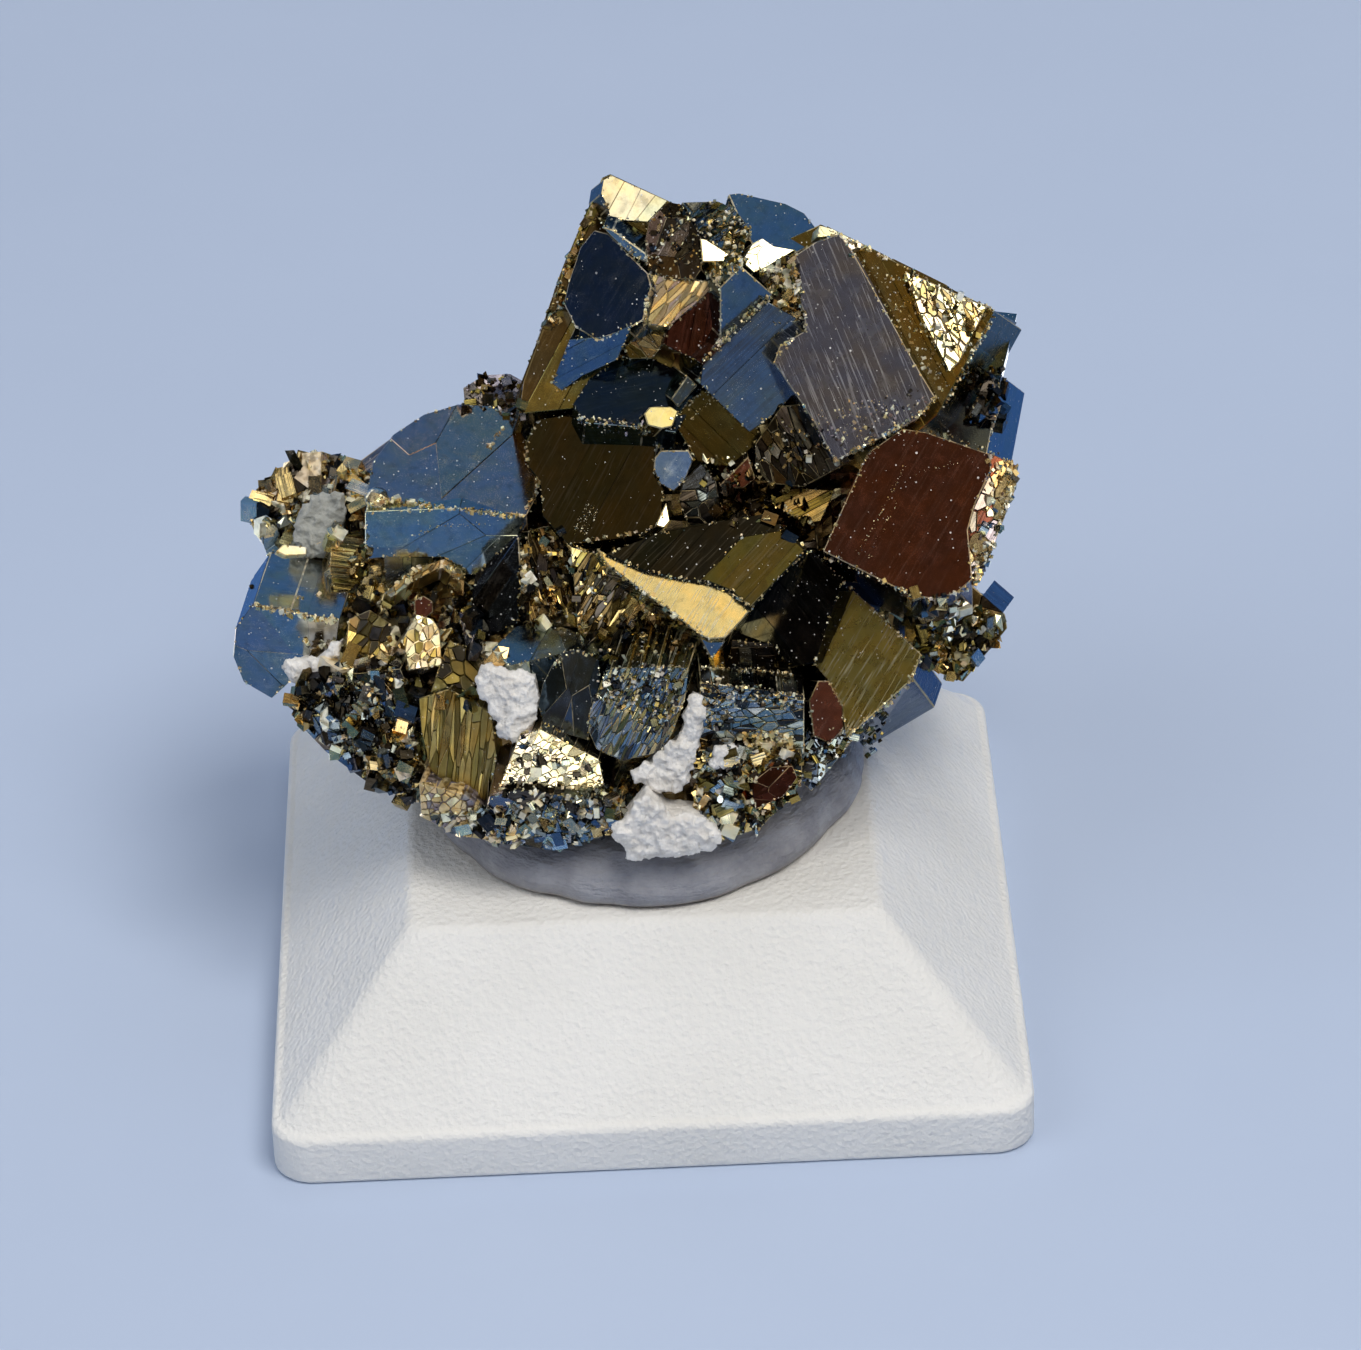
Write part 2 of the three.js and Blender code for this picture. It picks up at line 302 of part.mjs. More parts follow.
// Lumps of white quartz between the crystals: outline on the picture, place, lean and thickness.
const QUARTZ = [
  { name: "quartz_front", w: 7.4, lean: [0, -30], depth: 1.8,
    outline: [[-2.75, -6.7], [-2.1, -6.15], [-1.5, -5.5], [-1.0, -5.7], [-0.7, -6.1], [0.7, -6.3],
      [1.7, -6.8], [1.2, -7.25], [-0.6, -7.7], [-2.0, -7.7]] },
  { name: "quartz_seam", w: 7.7, lean: [-4, -20], depth: 1.5,
    outline: [[-1.9, -4.3], [-1.1, -3.7], [-0.1, -2.9], [0.3, -1.7], [0.5, -0.9], [0.85, -1.1],
      [0.75, -2.6], [0.4, -3.5], [0.3, -4.4], [-0.3, -4.75], [-1.3, -4.6]] },
  { name: "quartz_middle", w: 6.8, lean: [-10, -14], depth: 2.8,
    outline: [[-8.8, -0.3], [-8.3, 0.3], [-7.4, 0.1], [-6.4, -0.2], [-6.25, -1.7], [-6.7, -2.4],
      [-7.2, -2.7], [-7.7, -2.4], [-8.1, -1.3]] },
  { name: "quartz_left", w: 3.0, lean: [-12, -16], depth: 2.2,
    outline: [[-16.7, 0.4], [-15.5, 0.65], [-14.7, 1.3], [-14.9, 0.3], [-15.1, -0.7], [-15.9, -0.8],
      [-16.5, -0.2]] },
  { name: "quartz_back_left", w: -1.2, lean: [-10, 4], depth: 2.4,
    outline: [[-16.4, 5.9], [-16.3, 6.9], [-15.5, 7.7], [-14.7, 7.7], [-14.5, 6.9], [-15.0, 5.3],
      [-15.8, 5.1]] },
  { name: "quartz_patch", w: 7.6, lean: [2, -24], depth: 1.8,
    outline: [[1.15, -3.75], [1.5, -3.25], [2.3, -3.1], [2.45, -3.5], [1.8, -3.95]] },
];

// A closed geometry from rings of points, each ring as long as the first, capped at both ends.
function fromRings(rings, capTriangles) {
  const count = rings[0].length;
  const positions = rings.flat().flatMap((p) => [p.x, p.y, p.z]);
  const index = [];
  for (let k = 0; k + 1 < rings.length; k++) {
    for (let i = 0; i < count; i++) {
      const a = k * count + i;
      const b = k * count + ((i + 1) % count);
      index.push(a, b, b + count, a, b + count, a + count);
    }
  }
  const last = (rings.length - 1) * count;
  for (const [a, b, c] of capTriangles) {
    index.push(a, c, b);
    index.push(last + a, last + b, last + c);
  }
  const geometry = new THREE.BufferGeometry();
  geometry.setAttribute("position", new THREE.Float32BufferAttribute(positions, 3));
  geometry.setIndex(index);
  return geometry;
}

// The triangles that fill an outline of [x, y] points.
function fill(outline) {
  return THREE.ShapeUtils.triangulateShape(outline.map(([x, y]) => new THREE.Vector2(x, y)), []);
}

function counterClockwise(outline) {
  const points = outline.map(([x, y]) => new THREE.Vector2(x, y));
  return THREE.ShapeUtils.isClockWise(points) ? [...outline].reverse() : outline;
}

function middleOf(points) {
  const sum = points.reduce((total, p) => total.add(p), new THREE.Vector3());
  return sum.divideScalar(points.length);
}

// The outline on the picture, laid on a plane that leans from the viewer, and that plane's normal.
function leaningFace({ outline, w, lean }) {
  const normal = direction(Math.tan(radians(lean[0])), Math.tan(radians(lean[1])), 1);
  const ring = counterClockwise(outline);
  const u = ring.reduce((sum, p) => sum + p[0], 0) / ring.length;
  const v = ring.reduce((sum, p) => sum + p[1], 0) / ring.length;
  const anchor = seen(u, v, w);
  const points = ring.map(([pu, pv]) => {
    const ray = seen(pu, pv, 0).sub(eye);
    const reach = anchor.clone().sub(eye).dot(normal) / ray.dot(normal);
    return eye.clone().addScaledVector(ray, reach);
  });
  return { ring, points, normal };
}

// A crystal, or a lump, that runs straight back from its leaning face.
function crystalGeometry(crystal) {
  const { ring, points, normal } = leaningFace(crystal);
  const middle = middleOf(points);
  const back = points.map((p) =>
    p.clone().sub(middle).multiplyScalar(1 + crystal.flare).add(middle)
      .addScaledVector(normal, -crystal.depth));
  return fromRings([back, points], fill(ring));
}

// A turned box. cut is how much is taken off its corners, as pyrite cubes often have.
function cubeGeometry({ at, size, turn }, cut = 0) {
  const corners = [];
  for (const sx of [-1, 1]) {
    for (const sy of [-1, 1]) {
      for (const sz of [-1, 1]) {
        const [x, y, z] = size.map((s) => s / 2);
        corners.push(new THREE.Vector3(sx * (x - cut), sy * y, sz * z));
        corners.push(new THREE.Vector3(sx * x, sy * (y - cut), sz * z));
        corners.push(new THREE.Vector3(sx * x, sy * y, sz * (z - cut)));
      }
    }
  }
  const geometry = new ConvexGeometry(corners);
  const euler = new THREE.Euler(...turn.map(radians), "ZYX");
  geometry.applyMatrix4(new THREE.Matrix4().makeRotationFromEuler(euler));
  return geometry.translate(at.x, at.y, at.z);
}

// An outline with every corner moved out by the same distance from its two edges.
function offsetOutline(outline, distance) {
  const ring = counterClockwise(outline);
  return ring.map(([x, y], i) => {
    const [px, py] = ring[(i + ring.length - 1) % ring.length];
    const [nx, ny] = ring[(i + 1) % ring.length];
    const before = new THREE.Vector2(y - py, px - x).normalize();
    const after = new THREE.Vector2(ny - y, x - nx).normalize();
    const corner = before.clone().add(after).divideScalar(1 + before.dot(after));
    const reach = Math.min(corner.length(), 1.6);
    corner.setLength(reach * distance);
    return [x + corner.x, y + corner.y];
  });
}

// A lump of quartz with a bevelled face. grow widens it all round, for the pocket that it sits in.
function lumpGeometry({ outline, w, lean, depth }, grow = 0) {
  const wide = offsetOutline(outline, grow);
  const { ring, points, normal } = leaningFace({ outline: wide, w, lean });
  const inner = offsetOutline(wide, -0.12);
  const face = leaningFace({ outline: inner, w, lean });
  const at = (from, height) => from.map((p) => p.clone().addScaledVector(normal, height));
  return fromRings([
    at(points, -depth - grow),
    at(points, 0.1),
    at(face.points, 0.3 + grow),
  ], fill(ring));
}

// Turns a closed three.js geometry into a manifold solid.
function solid(geometry) {
  const bare = new THREE.BufferGeometry();
  const source = geometry.index ? geometry.toNonIndexed() : geometry;
  bare.setAttribute("position", source.getAttribute("position"));
  const merged = mergeVertices(bare, 1e-4);
  return new wasm.Manifold(new wasm.Mesh({
    numProp: 3,
    vertProperties: merged.attributes.position.array,
    triVerts: new Uint32Array(merged.index.array),
  }));
}

function geometryOf(manifold) {
  const mesh = manifold.getMesh();
  const geometry = new THREE.BufferGeometry();
  geometry.setAttribute("position", new THREE.BufferAttribute(mesh.vertProperties, 3));
  geometry.setIndex(new THREE.BufferAttribute(mesh.triVerts, 1));
  const faceted = geometry.toNonIndexed();
  faceted.computeVertexNormals();
  return faceted;
}

// A repeatable run of numbers from 0 to 1.
function randomRun(seed) {
  let state = seed;
  return () => {
    state = (Math.imul(state, 1664525) + 1013904223) >>> 0;
    return state / 4294967296;
  };
}

// The small cubes of one bed, half sunk in the leaning plane that the bed lies on.
function gritCubes(bed, seed) {
  const random = randomRun(seed);
  const cubes = [];
  for (let i = 0; i < bed.count; i++) {
    const du = bed.spread[0] * (2 * random() - 1);
    const dv = bed.spread[1] * (2 * random() - 1);
    const w = bed.w - du * Math.tan(radians(bed.lean[0])) - dv * Math.tan(radians(bed.lean[1]));
    const edge = THREE.MathUtils.lerp(bed.size[0], bed.size[1], random());
    const at = seen(bed.u + du, bed.v + dv, w - 0.35 * edge);
    const turn = [90 * random(), 90 * random(), 90 * random()];
    cubes.push(cubeGeometry({ at, size: [edge, edge * 0.9, edge * 1.1], turn }));
  }
  return cubes;
}

function pyriteSolid() {
  const upper = UPPER_MASS.map(([u, v, w]) => seen(u, v, w));
  const lower = LOWER_MASS.map((p) => new THREE.Vector3(...p));
  const pieces = [
    new ConvexGeometry(lower),
    new ConvexGeometry(upper),
    ...CRYSTALS.map(crystalGeometry),
    ...BACK_CRYSTALS.map(({ at, size, turn }) => cubeGeometry({ at: seen(...at), size, turn }, 0.5)),
    ...GRIT_BEDS.flatMap((bed, i) => gritCubes(bed, 97 + 31 * i)),
  ];
  let whole = solid(pieces[0]);
  for (const piece of pieces.slice(1)) whole = whole.add(solid(piece));
  for (const lump of QUARTZ) whole = whole.subtract(solid(lumpGeometry(lump, GAP)));
  const floor = solid(new THREE.BoxGeometry(60, 60, 20).translate(0, 0, SPECIMEN_FOOT - 10));
  whole = whole.subtract(floor);
  return whole.decompose().sort((a, b) => b.volume() - a.volume())[0];
}

// A square ring with rounded corners.
function squareRing(width, radius, z) {
  const points = [];
  const inset = width / 2 - radius;
  for (const quarter of [0, 1, 2, 3]) {
    for (let step = 0; step <= 5; step++) {
      const angle = (Math.PI / 2) * (quarter + step / 5);
      const cx = inset * Math.SQRT2 * Math.cos((Math.PI / 2) * (quarter + 0.5));
      const cy = inset * Math.SQRT2 * Math.sin((Math.PI / 2) * (quarter + 0.5));
      points.push(new THREE.Vector3(cx + radius * Math.cos(angle), cy + radius * Math.sin(angle), z));
    }
  }
  return points;
}

function standGeometry() {
  const rings = [
    squareRing(STAND_WIDTH - 0.5, 1.5, 0),
    squareRing(STAND_WIDTH, 1.7, 0.25),
    squareRing(STAND_WIDTH, 1.7, STAND_RIM - 0.3),
    squareRing(STAND_WIDTH - 0.7, 1.5, STAND_RIM),
    squareRing(PLATFORM_WIDTH, 0.6, STAND_HEIGHT - 0.12),
    squareRing(PLATFORM_WIDTH - 0.5, 0.5, STAND_HEIGHT),
  ];
  return fromRings(rings, fill(rings[0].map((p) => [p.x, p.y])));
}

// The pad of putty: a pressed disc with an uneven edge.
function puttyRing(scale, z) {
  const points = [];
  const steps = 28;
  for (let i = 0; i < steps; i++) {
    const angle = (2 * Math.PI * i) / steps;
    const uneven = 1 + 0.025 * Math.sin(3 * angle + 0.6) + 0.018 * Math.cos(5 * angle);
    const radius = PUTTY_RADIUS * scale * uneven;
    points.push(new THREE.Vector3(radius * Math.cos(angle), radius * Math.sin(angle), z));
  }
  return points;
}

function puttyGeometry() {
  const base = STAND_HEIGHT + GAP;
  const rings = [
    puttyRing(0.96, base),
    puttyRing(1.0, base + 0.35),
    puttyRing(0.98, base + 0.95),
    puttyRing(0.9, PUTTY_TOP - 0.25),
    puttyRing(0.84, PUTTY_TOP),
  ];
  return fromRings(rings, fill(rings[0].map((p) => [p.x, p.y])));
}

const materials = {
  pyrite: new THREE.MeshStandardMaterial({ color: 0xb8a06a, roughness: 0.22, metalness: 1 }),
  quartz: new THREE.MeshStandardMaterial({ color: 0xe6e2dc, roughness: 0.6, metalness: 0 }),
  putty: new THREE.MeshStandardMaterial({ color: 0xb9bac4, roughness: 0.75, metalness: 0 }),
  stand: new THREE.MeshStandardMaterial({ color: 0xe8e5df, roughness: 0.5, metalness: 0 }),
};

function node(name, geometry, material) {
  const mesh = new THREE.Mesh(geometry, material);
  mesh.name = name;
  return mesh;
}

const specimen = new THREE.Group();
specimen.add(node("pyrite", geometryOf(pyriteSolid()), materials.pyrite));
for (const lump of QUARTZ) {
  specimen.add(node(lump.name, geometryOf(solid(lumpGeometry(lump))), materials.quartz));
}

const group = new THREE.Group();
group.add(node("stand", standGeometry(), materials.stand));
group.add(node("putty", puttyGeometry(), materials.putty));
group.add(specimen);

export default group;
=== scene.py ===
"""A pyrite specimen on its display stand: mirror-bright intergrown cubes, rough growth between
them, lumps of white quartz, a pad of grey putty and a white square stand. Sizes are in millimetres
until a piece is made. Crystals are laid out on the picture: u to the right, v up, w to the viewer.
"""
import math
import random

import bmesh
import bpy
from mathutils import Euler, Matrix, Vector, noise
from mathutils.bvhtree import BVHTree


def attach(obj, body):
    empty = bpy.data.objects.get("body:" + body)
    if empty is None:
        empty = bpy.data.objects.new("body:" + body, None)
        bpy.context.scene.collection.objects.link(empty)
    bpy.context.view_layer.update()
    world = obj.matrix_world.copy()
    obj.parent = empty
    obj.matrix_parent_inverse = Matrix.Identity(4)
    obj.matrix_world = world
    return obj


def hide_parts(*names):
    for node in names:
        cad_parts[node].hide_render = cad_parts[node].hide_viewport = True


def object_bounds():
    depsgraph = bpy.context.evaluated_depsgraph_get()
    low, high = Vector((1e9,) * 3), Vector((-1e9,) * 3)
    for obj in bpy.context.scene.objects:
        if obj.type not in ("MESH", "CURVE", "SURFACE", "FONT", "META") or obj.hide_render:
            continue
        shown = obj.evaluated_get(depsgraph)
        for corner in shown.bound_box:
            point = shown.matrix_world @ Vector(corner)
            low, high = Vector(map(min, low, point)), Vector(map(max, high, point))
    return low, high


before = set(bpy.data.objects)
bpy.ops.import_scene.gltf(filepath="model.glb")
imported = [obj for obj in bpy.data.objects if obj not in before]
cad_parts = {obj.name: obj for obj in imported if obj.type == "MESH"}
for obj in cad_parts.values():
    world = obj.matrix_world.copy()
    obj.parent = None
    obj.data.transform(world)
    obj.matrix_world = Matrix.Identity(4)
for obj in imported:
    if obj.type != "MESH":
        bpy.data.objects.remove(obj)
cad_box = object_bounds()

MM = 0.001
STAND_WIDTH = 32.0
STAND_RIM = 2.34
STAND_HEIGHT = 8.57
PLATFORM_WIDTH = 19.8
PUTTY_RADIUS = 9.4
PUTTY_HEIGHT = 2.7
SPECIMEN_FOOT = 11.3
SPECIMEN_BACK = float(cad_box[1][1]) / MM

# The camera, from the stand's corners in the photograph
VIEW_ELEVATION = 33.215
VIEW_AZIMUTH = -0.368
VIEW_ROLL = -2.295
VIEW_DISTANCE = 251.54
FOCAL_PIXELS = 5875.0
PICTURE_WIDTH = 1361.0
PICTURE_CENTRE = Vector((1.97, 0.0, 14.23))

elevation = math.radians(VIEW_ELEVATION)
azimuth = math.radians(VIEW_AZIMUTH)
TO_VIEWER = Vector((math.sin(azimuth) * math.cos(elevation),
                    -math.cos(azimuth) * math.cos(elevation), math.sin(elevation)))
level_right = Vector((0, 0, 1)).cross(TO_VIEWER).normalized()
ROLL = Matrix.Rotation(math.radians(VIEW_ROLL), 3, TO_VIEWER)
RIGHT = ROLL @ level_right
UP = ROLL @ TO_VIEWER.cross(level_right)
EYE = PICTURE_CENTRE + TO_VIEWER * VIEW_DISTANCE

# How the metal is broken up and worn
PLAIN_WEAR = 0.045  # bevel along a plain crystal's edges
BROKEN_WEAR = 0.04  # the same, under a face that is broken up
PART_WEAR = 0.02  # bevel along the edges of a strip or fragment
BLOCK_WEAR = 0.05  # bevel along the edges of the back's crystals
BLOCK_CUT = 0.45  # how much of their corners is missing
# Worn rims also get a lighter tint and mirror less, so they look bright under any light: wear with
# painted highlight.
WORN_AND_HIGHLIT_FINISH = 0.40  # roughness that marks a worn edge
CRACK = 0.03  # between the fragments of a face that is broken finely
FINELY_BROKEN = 8  # more fragments than this leave cracks
DRUSE_TRIES = 2600
TERRACE_TRIES = 1700
CHIP_SHAPES = 30


def seen(u, v, w):
    """The point at u, v on the picture that lies w mm nearer than its plane."""
    ray = PICTURE_CENTRE + RIGHT * u + UP * v - EYE
    return EYE + ray * ((VIEW_DISTANCE - w) / VIEW_DISTANCE)


def towards(right, up):
    """The direction that leans this many degrees to the right and up from the viewer."""
    lean = RIGHT * math.tan(math.radians(right)) + UP * math.tan(math.radians(up)) + TO_VIEWER
    return lean.normalized()


# The crystals that show their faces to the viewer: name, place, degrees that the face leans to the
# right and up, depth, flare, and the face's outline on the picture
CRYSTALS = [
    ("crown", 5.4, (4, 6), 9, 0,
     [(-3.35, 21.3), (-3.0, 21.45), (-0.3, 20.2), (2.6, 18.6), (1.5, 12), (-6.9, 11.2),
      (-6.7, 12.6), (-5.8, 15.0), (-4.9, 17.6)]),
    ("crown_facet", 6.2, (14, 10), 2, 0.1,
     [(-3.4, 20.6), (-3.3, 21.2), (-2.95, 21.4), (-0.55, 20.3), (-1.4, 19.4), (-3.0, 19.5),
      (-3.1, 20.0)]),
    ("crown_shelf", 6.0, (6, -12), 2, 0.05,
     [(-3.5, 19.5), (-1.5, 19.5), (-1.4, 18.1), (-3.1, 19.0)]),
    ("navy_pentagon", 7.0, (-22, 16), 4, 0.05,
     [(-3.7, 19.05), (-3.1, 18.9), (-2.1, 17.9), (-1.4, 17.2), (-1.25, 16.6), (-1.6, 15.2),
      (-2.3, 14.8), (-3.6, 14.35), (-4.5, 14.9), (-5.0, 15.9), (-4.8, 16.8), (-4.3, 18.3)]),
    ("blue_bevel", 7.3, (-10, -28), 1.5, 0,
     [(-3.35, 19.2), (-2.9, 19.05), (-1.5, 18.05), (-1.35, 17.55), (-2.1, 17.95),
      (-3.1, 18.9)]),
    ("blue_wedge", 7.0, (-12, -26), 3, 0.1,
     [(-5.5, 12.5), (-5.1, 12.15), (-4.2, 12.8), (-2.7, 13.5), (-2.05, 15.0), (-3.1, 14.5),
      (-4.75, 14.35)]),
    ("dark_ledge", 6.6, (4, 24), 4, 0,
     [(-4.1, 10.8), (-1.6, 10.6), (-0.2, 10.4), (0.9, 12.2), (0.35, 12.8), (-1.2, 13.55),
      (-2.6, 13.6), (-3.9, 12.7), (-4.6, 11.6)]),
    ("dark_tooth", 7.0, (-6, 8), 4, 0.15,
     [(-0.5, 20.25), (0.0, 20.15), (0.85, 18.8), (0.9, 17.4), (0.6, 16.95), (-0.6, 16.95),
      (-1.4, 17.45), (-1.5, 18.7), (-1.3, 19.5)]),
    ("striped_top", 6.4, (18, 28), 5, 0.1,
     [(0.05, 20.25), (1.6, 20.3), (2.3, 20.0), (3.0, 19.1), (2.65, 18.1), (2.1, 18.0),
      (0.9, 18.8)]),
    ("crown_strip", 7.2, (15, 12), 1, 0,
     [(5.85, 18.75), (5.95, 19.25), (6.5, 19.1), (7.9, 18.4), (7.3, 18.2), (6.8, 18.85)]),
    ("blue_cube_top", 8.1, (18, -22), 3, 0,
     [(1.0, 13.4), (1.7, 14.5), (1.7, 16.6), (2.6, 17.5), (3.95, 16.3), (3.7, 15.75)]),
    ("blue_sliver", 7.3, (18, -16), 3, 0,
     [(-0.4, 11.8), (0.3, 12.8), (0.75, 12.4), (-0.1, 11.45)]),
    ("blue_crown", 5.2, (14, 36), 6, 0,
     [(2.05, 20.6), (2.5, 20.65), (4.5, 20.2), (5.3, 19.8), (5.85, 19.1), (5.9, 18.6),
      (5.0, 18.1), (3.1, 18.4), (2.45, 19.7)]),
    ("bright_left", 7.3, (16, 11), 2, 0.2,
     [(0.85, 18.7), (1.1, 18.65), (2.2, 17.95), (2.0, 17.7), (0.95, 17.7)]),
    ("bright_right", 7.2, (15, 12), 2, 0.2,
     [(2.65, 17.7), (3.1, 18.5), (3.5, 18.7), (4.0, 18.35), (4.9, 18.2), (3.7, 17.5),
      (3.15, 17.25)]),
    ("beige_face", 7.3, (6, 14), 3, 0.1,
     [(-1.3, 17.2), (-0.6, 17.0), (1.6, 16.85), (0.9, 16.1), (-0.5, 14.9), (-1.4, 15.0),
      (-1.5, 15.7), (-1.2, 16.5)]),
    ("red_brown_face", 7.0, (12, -4), 3, 0.05,
     [(1.25, 16.5), (1.7, 16.5), (1.7, 13.9), (0.8, 13.5), (0.0, 13.8), (-0.75, 14.2),
      (-0.5, 14.85), (0.9, 16.1)]),
    ("striped_gold", 6.7, (-6, -10), 3, 0.1,
     [(-1.6, 15.05), (-0.55, 14.95), (-0.75, 14.2), (-1.2, 13.55), (-2.2, 13.55),
      (-2.4, 14.0)]),
    ("blue_cube", 7.6, (18, -18), 4.6, 0,
     [(0.85, 12.45), (0.95, 13.25), (3.75, 15.95), (5.3, 15.1), (5.3, 12.6), (4.25, 11.35),
      (2.95, 10.4)]),
    ("pit_wall", 7.4, (-8, 12), 3, 0.1,
     [(3.2, 17.3), (4.9, 18.1), (5.2, 16.4), (5.2, 15.2), (4.0, 15.0), (3.9, 16.3)]),
    ("olive_cube", 6.4, (11, -11), 4.4, 0,
     [(-0.35, 10.9), (0.95, 12.2), (3.4, 10.6), (3.5, 10.1), (2.1, 8.95), (0.75, 9.15)]),
    ("cream_facet", 7.7, (15, 12), 2.5, 0.1,
     [(-1.55, 11.2), (-1.3, 11.5), (-0.4, 11.5), (-0.1, 11.3), (-0.35, 10.65), (-0.8, 10.55),
      (-1.4, 10.7)]),
    ("olive_slot", 5.9, (0, 8), 2, 0.1,
     [(-1.1, 10.2), (0.0, 9.95), (0.25, 9.65), (-0.95, 9.65)]),
    ("blue_button", 6.2, (-2, -26), 3, 0,
     [(-1.1, 9.3), (-0.85, 9.6), (0.35, 9.6), (0.55, 9.2), (0.2, 8.35), (-0.3, 7.85),
      (-0.9, 8.2), (-1.15, 8.8)]),
    ("brown_plate", 5.6, (-4, 4), 6, 0,
     [(-6.65, 9.9), (-6.1, 10.95), (-5.0, 11.1), (-1.7, 10.6), (-1.1, 9.9), (-1.1, 8.5),
      (-0.7, 7.9), (-0.9, 6.6), (-1.3, 6.2), (-2.5, 5.85), (-4.8, 5.6), (-5.9, 6.8),
      (-6.0, 8.3), (-6.5, 8.9)]),
    ("white_flash", 6.0, (15, 12), 2, 0.2,
     [(-0.6, 7.4), (-0.45, 6.6), (-0.7, 6.3), (-1.05, 6.4)]),
    ("dark_facet", 5.5, (-6, -12), 4, 0,
     [(0.1, 8.3), (0.9, 9.1), (1.5, 8.3), (1.75, 7.1), (1.4, 6.4), (0.3, 6.5), (-0.1, 7.5)]),
    ("copper_facet", 6.2, (2, -12), 3, 0.1,
     [(1.65, 8.1), (2.9, 9.35), (3.2, 8.4), (2.7, 8.0), (2.0, 8.0)]),
    ("dark_block", 6.8, (-14, -8), 4, 0,
     [(3.2, 9.9), (4.3, 11.5), (5.1, 11.6), (7.3, 9.15), (5.25, 8.05), (3.8, 8.2),
      (3.2, 8.9)]),
    ("gold_slot", 5.6, (4, 10), 3, 0,
     [(3.7, 7.4), (5.0, 8.0), (6.6, 7.9), (6.0, 6.6), (5.4, 6.5)]),
    ("dark_gully", 4.8, (0, 16), 3, 0,
     [(1.6, 8.1), (3.4, 7.9), (5.8, 6.4), (5.9, 5.4), (2.2, 5.6), (1.4, 6.4)]),
    ("grey_slab", 8.2, (2, 3), 6, 0,
     [(4.65, 17.8), (5.8, 18.55), (6.8, 18.9), (7.4, 18.1), (10.0, 13.4), (10.9, 11.9),
      (10.15, 10.95), (6.6, 9.15), (5.75, 10.8), (4.0, 13.4), (4.25, 14.1), (5.35, 14.75),
      (5.3, 15.5), (4.9, 16.6)]),
    ("gold_wall", 6.2, (-11, 2), 8.5, 0,
     [(5.7, 19.15), (6.0, 19.3), (13.45, 15.6), (11.0, 11.15), (8, 8.6), (3.6, 11),
      (3.6, 18.2)]),
    ("gold_swirl", 7.3, (-11, 2), 1.2, 0.05,
     [(9.6, 17.3), (13.1, 15.75), (11.9, 13.4), (11.5, 13.0), (10.8, 14.4), (10.2, 15.6)]),
    ("right_step", 2.6, (-12, 4), 6.5, 0,
     [(10.5, 13.2), (13.75, 12.85), (13.1, 9.4), (10.4, 9.4)]),
    ("right_pit", 4.2, (4, 6), 3, 0.1,
     [(12.3, 11.1), (13.25, 13.1), (13.75, 11.6), (13.5, 10.9)]),
    ("brown_slab", 9.0, (-3, 10), 6.5, 0,
     [(6.1, 5.3), (8.0, 9.5), (9.5, 10.55), (10.5, 10.4), (13.3, 9.45), (13.3, 8.8),
      (12.6, 7.3), (12.3, 6.2), (12.5, 4.1), (11.8, 3.5), (10.9, 3.25), (9.9, 3.4)]),
    ("brown_slab_edge", 8.2, (20, 10), 5.6, 0,
     [(11.6, 9.6), (13.3, 9.5), (14.45, 8.95), (14.4, 8.1), (12.85, 4.0), (11.6, 4.4)]),
    ("dark_plate", 7.5, (5, 15), 4.4, 0,
     [(-3.2, 5.2), (-2.6, 4.95), (-1.5, 4.45), (0, 4.15), (1.2, 3.95), (2.1, 3.6), (3.0, 2.8),
      (5.45, 5.45), (3.6, 6.9), (-0.9, 6.1)]),
    ("olive_plate", 7.48, (5, 15), 0.4, 0,
     [(0.9, 4.1), (1.25, 4.0), (2.15, 3.65), (3.0, 2.9), (5.3, 5.35), (4.4, 6.2), (2.6, 5.9),
      (1.7, 4.9)]),
    ("tan_plate", 7.6, (5, 15), 4.4, 0,
     [(-3.6, 5.45), (-3.1, 4.7), (0.9, 1.7), (1.25, 1.55), (1.9, 1.6), (2.25, 1.95),
      (3.1, 2.9), (2.1, 3.6), (1.2, 3.95), (0, 4.15), (-1.5, 4.45), (-2.6, 4.95),
      (-3.2, 5.2)]),
    ("dark_cube", 6.4, (-24, 2), 5, 0,
     [(5.5, 5.4), (6.95, 4.05), (5.75, 0.55), (4.7, 0.3), (4.0, 1.3), (2.4, 1.4), (2.1, 2.0),
      (3.9, 3.9)]),
    ("olive_slab", 6.6, (-9, 9), 8, 0,
     [(6.95, 4.05), (10.3, 0.9), (9.95, -0.15), (7.1, -2.7), (6.9, -1.3), (6.3, -0.2),
      (5.7, 0.5)]),
    ("rust_facet", 6.7, (6, 2), 2.5, 0.1,
     [(5.5, -1.1), (5.9, -0.25), (6.35, -0.25), (6.95, -1.3), (7.0, -2.3), (6.4, -2.95),
      (5.7, -2.6)]),
    ("olive_foot", 6.0, (-6, -20), 4, 0,
     [(5.4, -2.4), (7.3, -2.3), (8.4, -1.5), (6.9, -3.4), (5.6, -5.0), (4.8, -4.2)]),
    ("left_cube", 1.9, (-4, 44), 4.4, 0,
     [(-13.45, 7.55), (-13.2, 9.1), (-12.3, 10.3), (-11.0, 11.15), (-9.5, 11.6),
      (-8.0, 11.5), (-7.2, 11.1), (-6.6, 10.0), (-6.5, 8.9), (-6.05, 8.3), (-6.2, 7.6),
      (-6.6, 6.85)]),
    ("left_cube_front", 3.55, (-6, -30), 3.6, 0,
     [(-13.5, 7.0), (-9.4, 7.15), (-6.65, 6.8), (-7.0, 5.9), (-8.0, 4.95), (-8.8, 4.3),
      (-9.4, 4.3), (-10.1, 5.05), (-12.6, 5.05), (-13.5, 4.95)]),
    ("left_block", 1.4, (-8, -32), 4.4, 0,
     [(-18.3, 3.05), (-16.7, 2.75), (-14.6, 2.35), (-14.75, 1.4), (-16.4, 0.0),
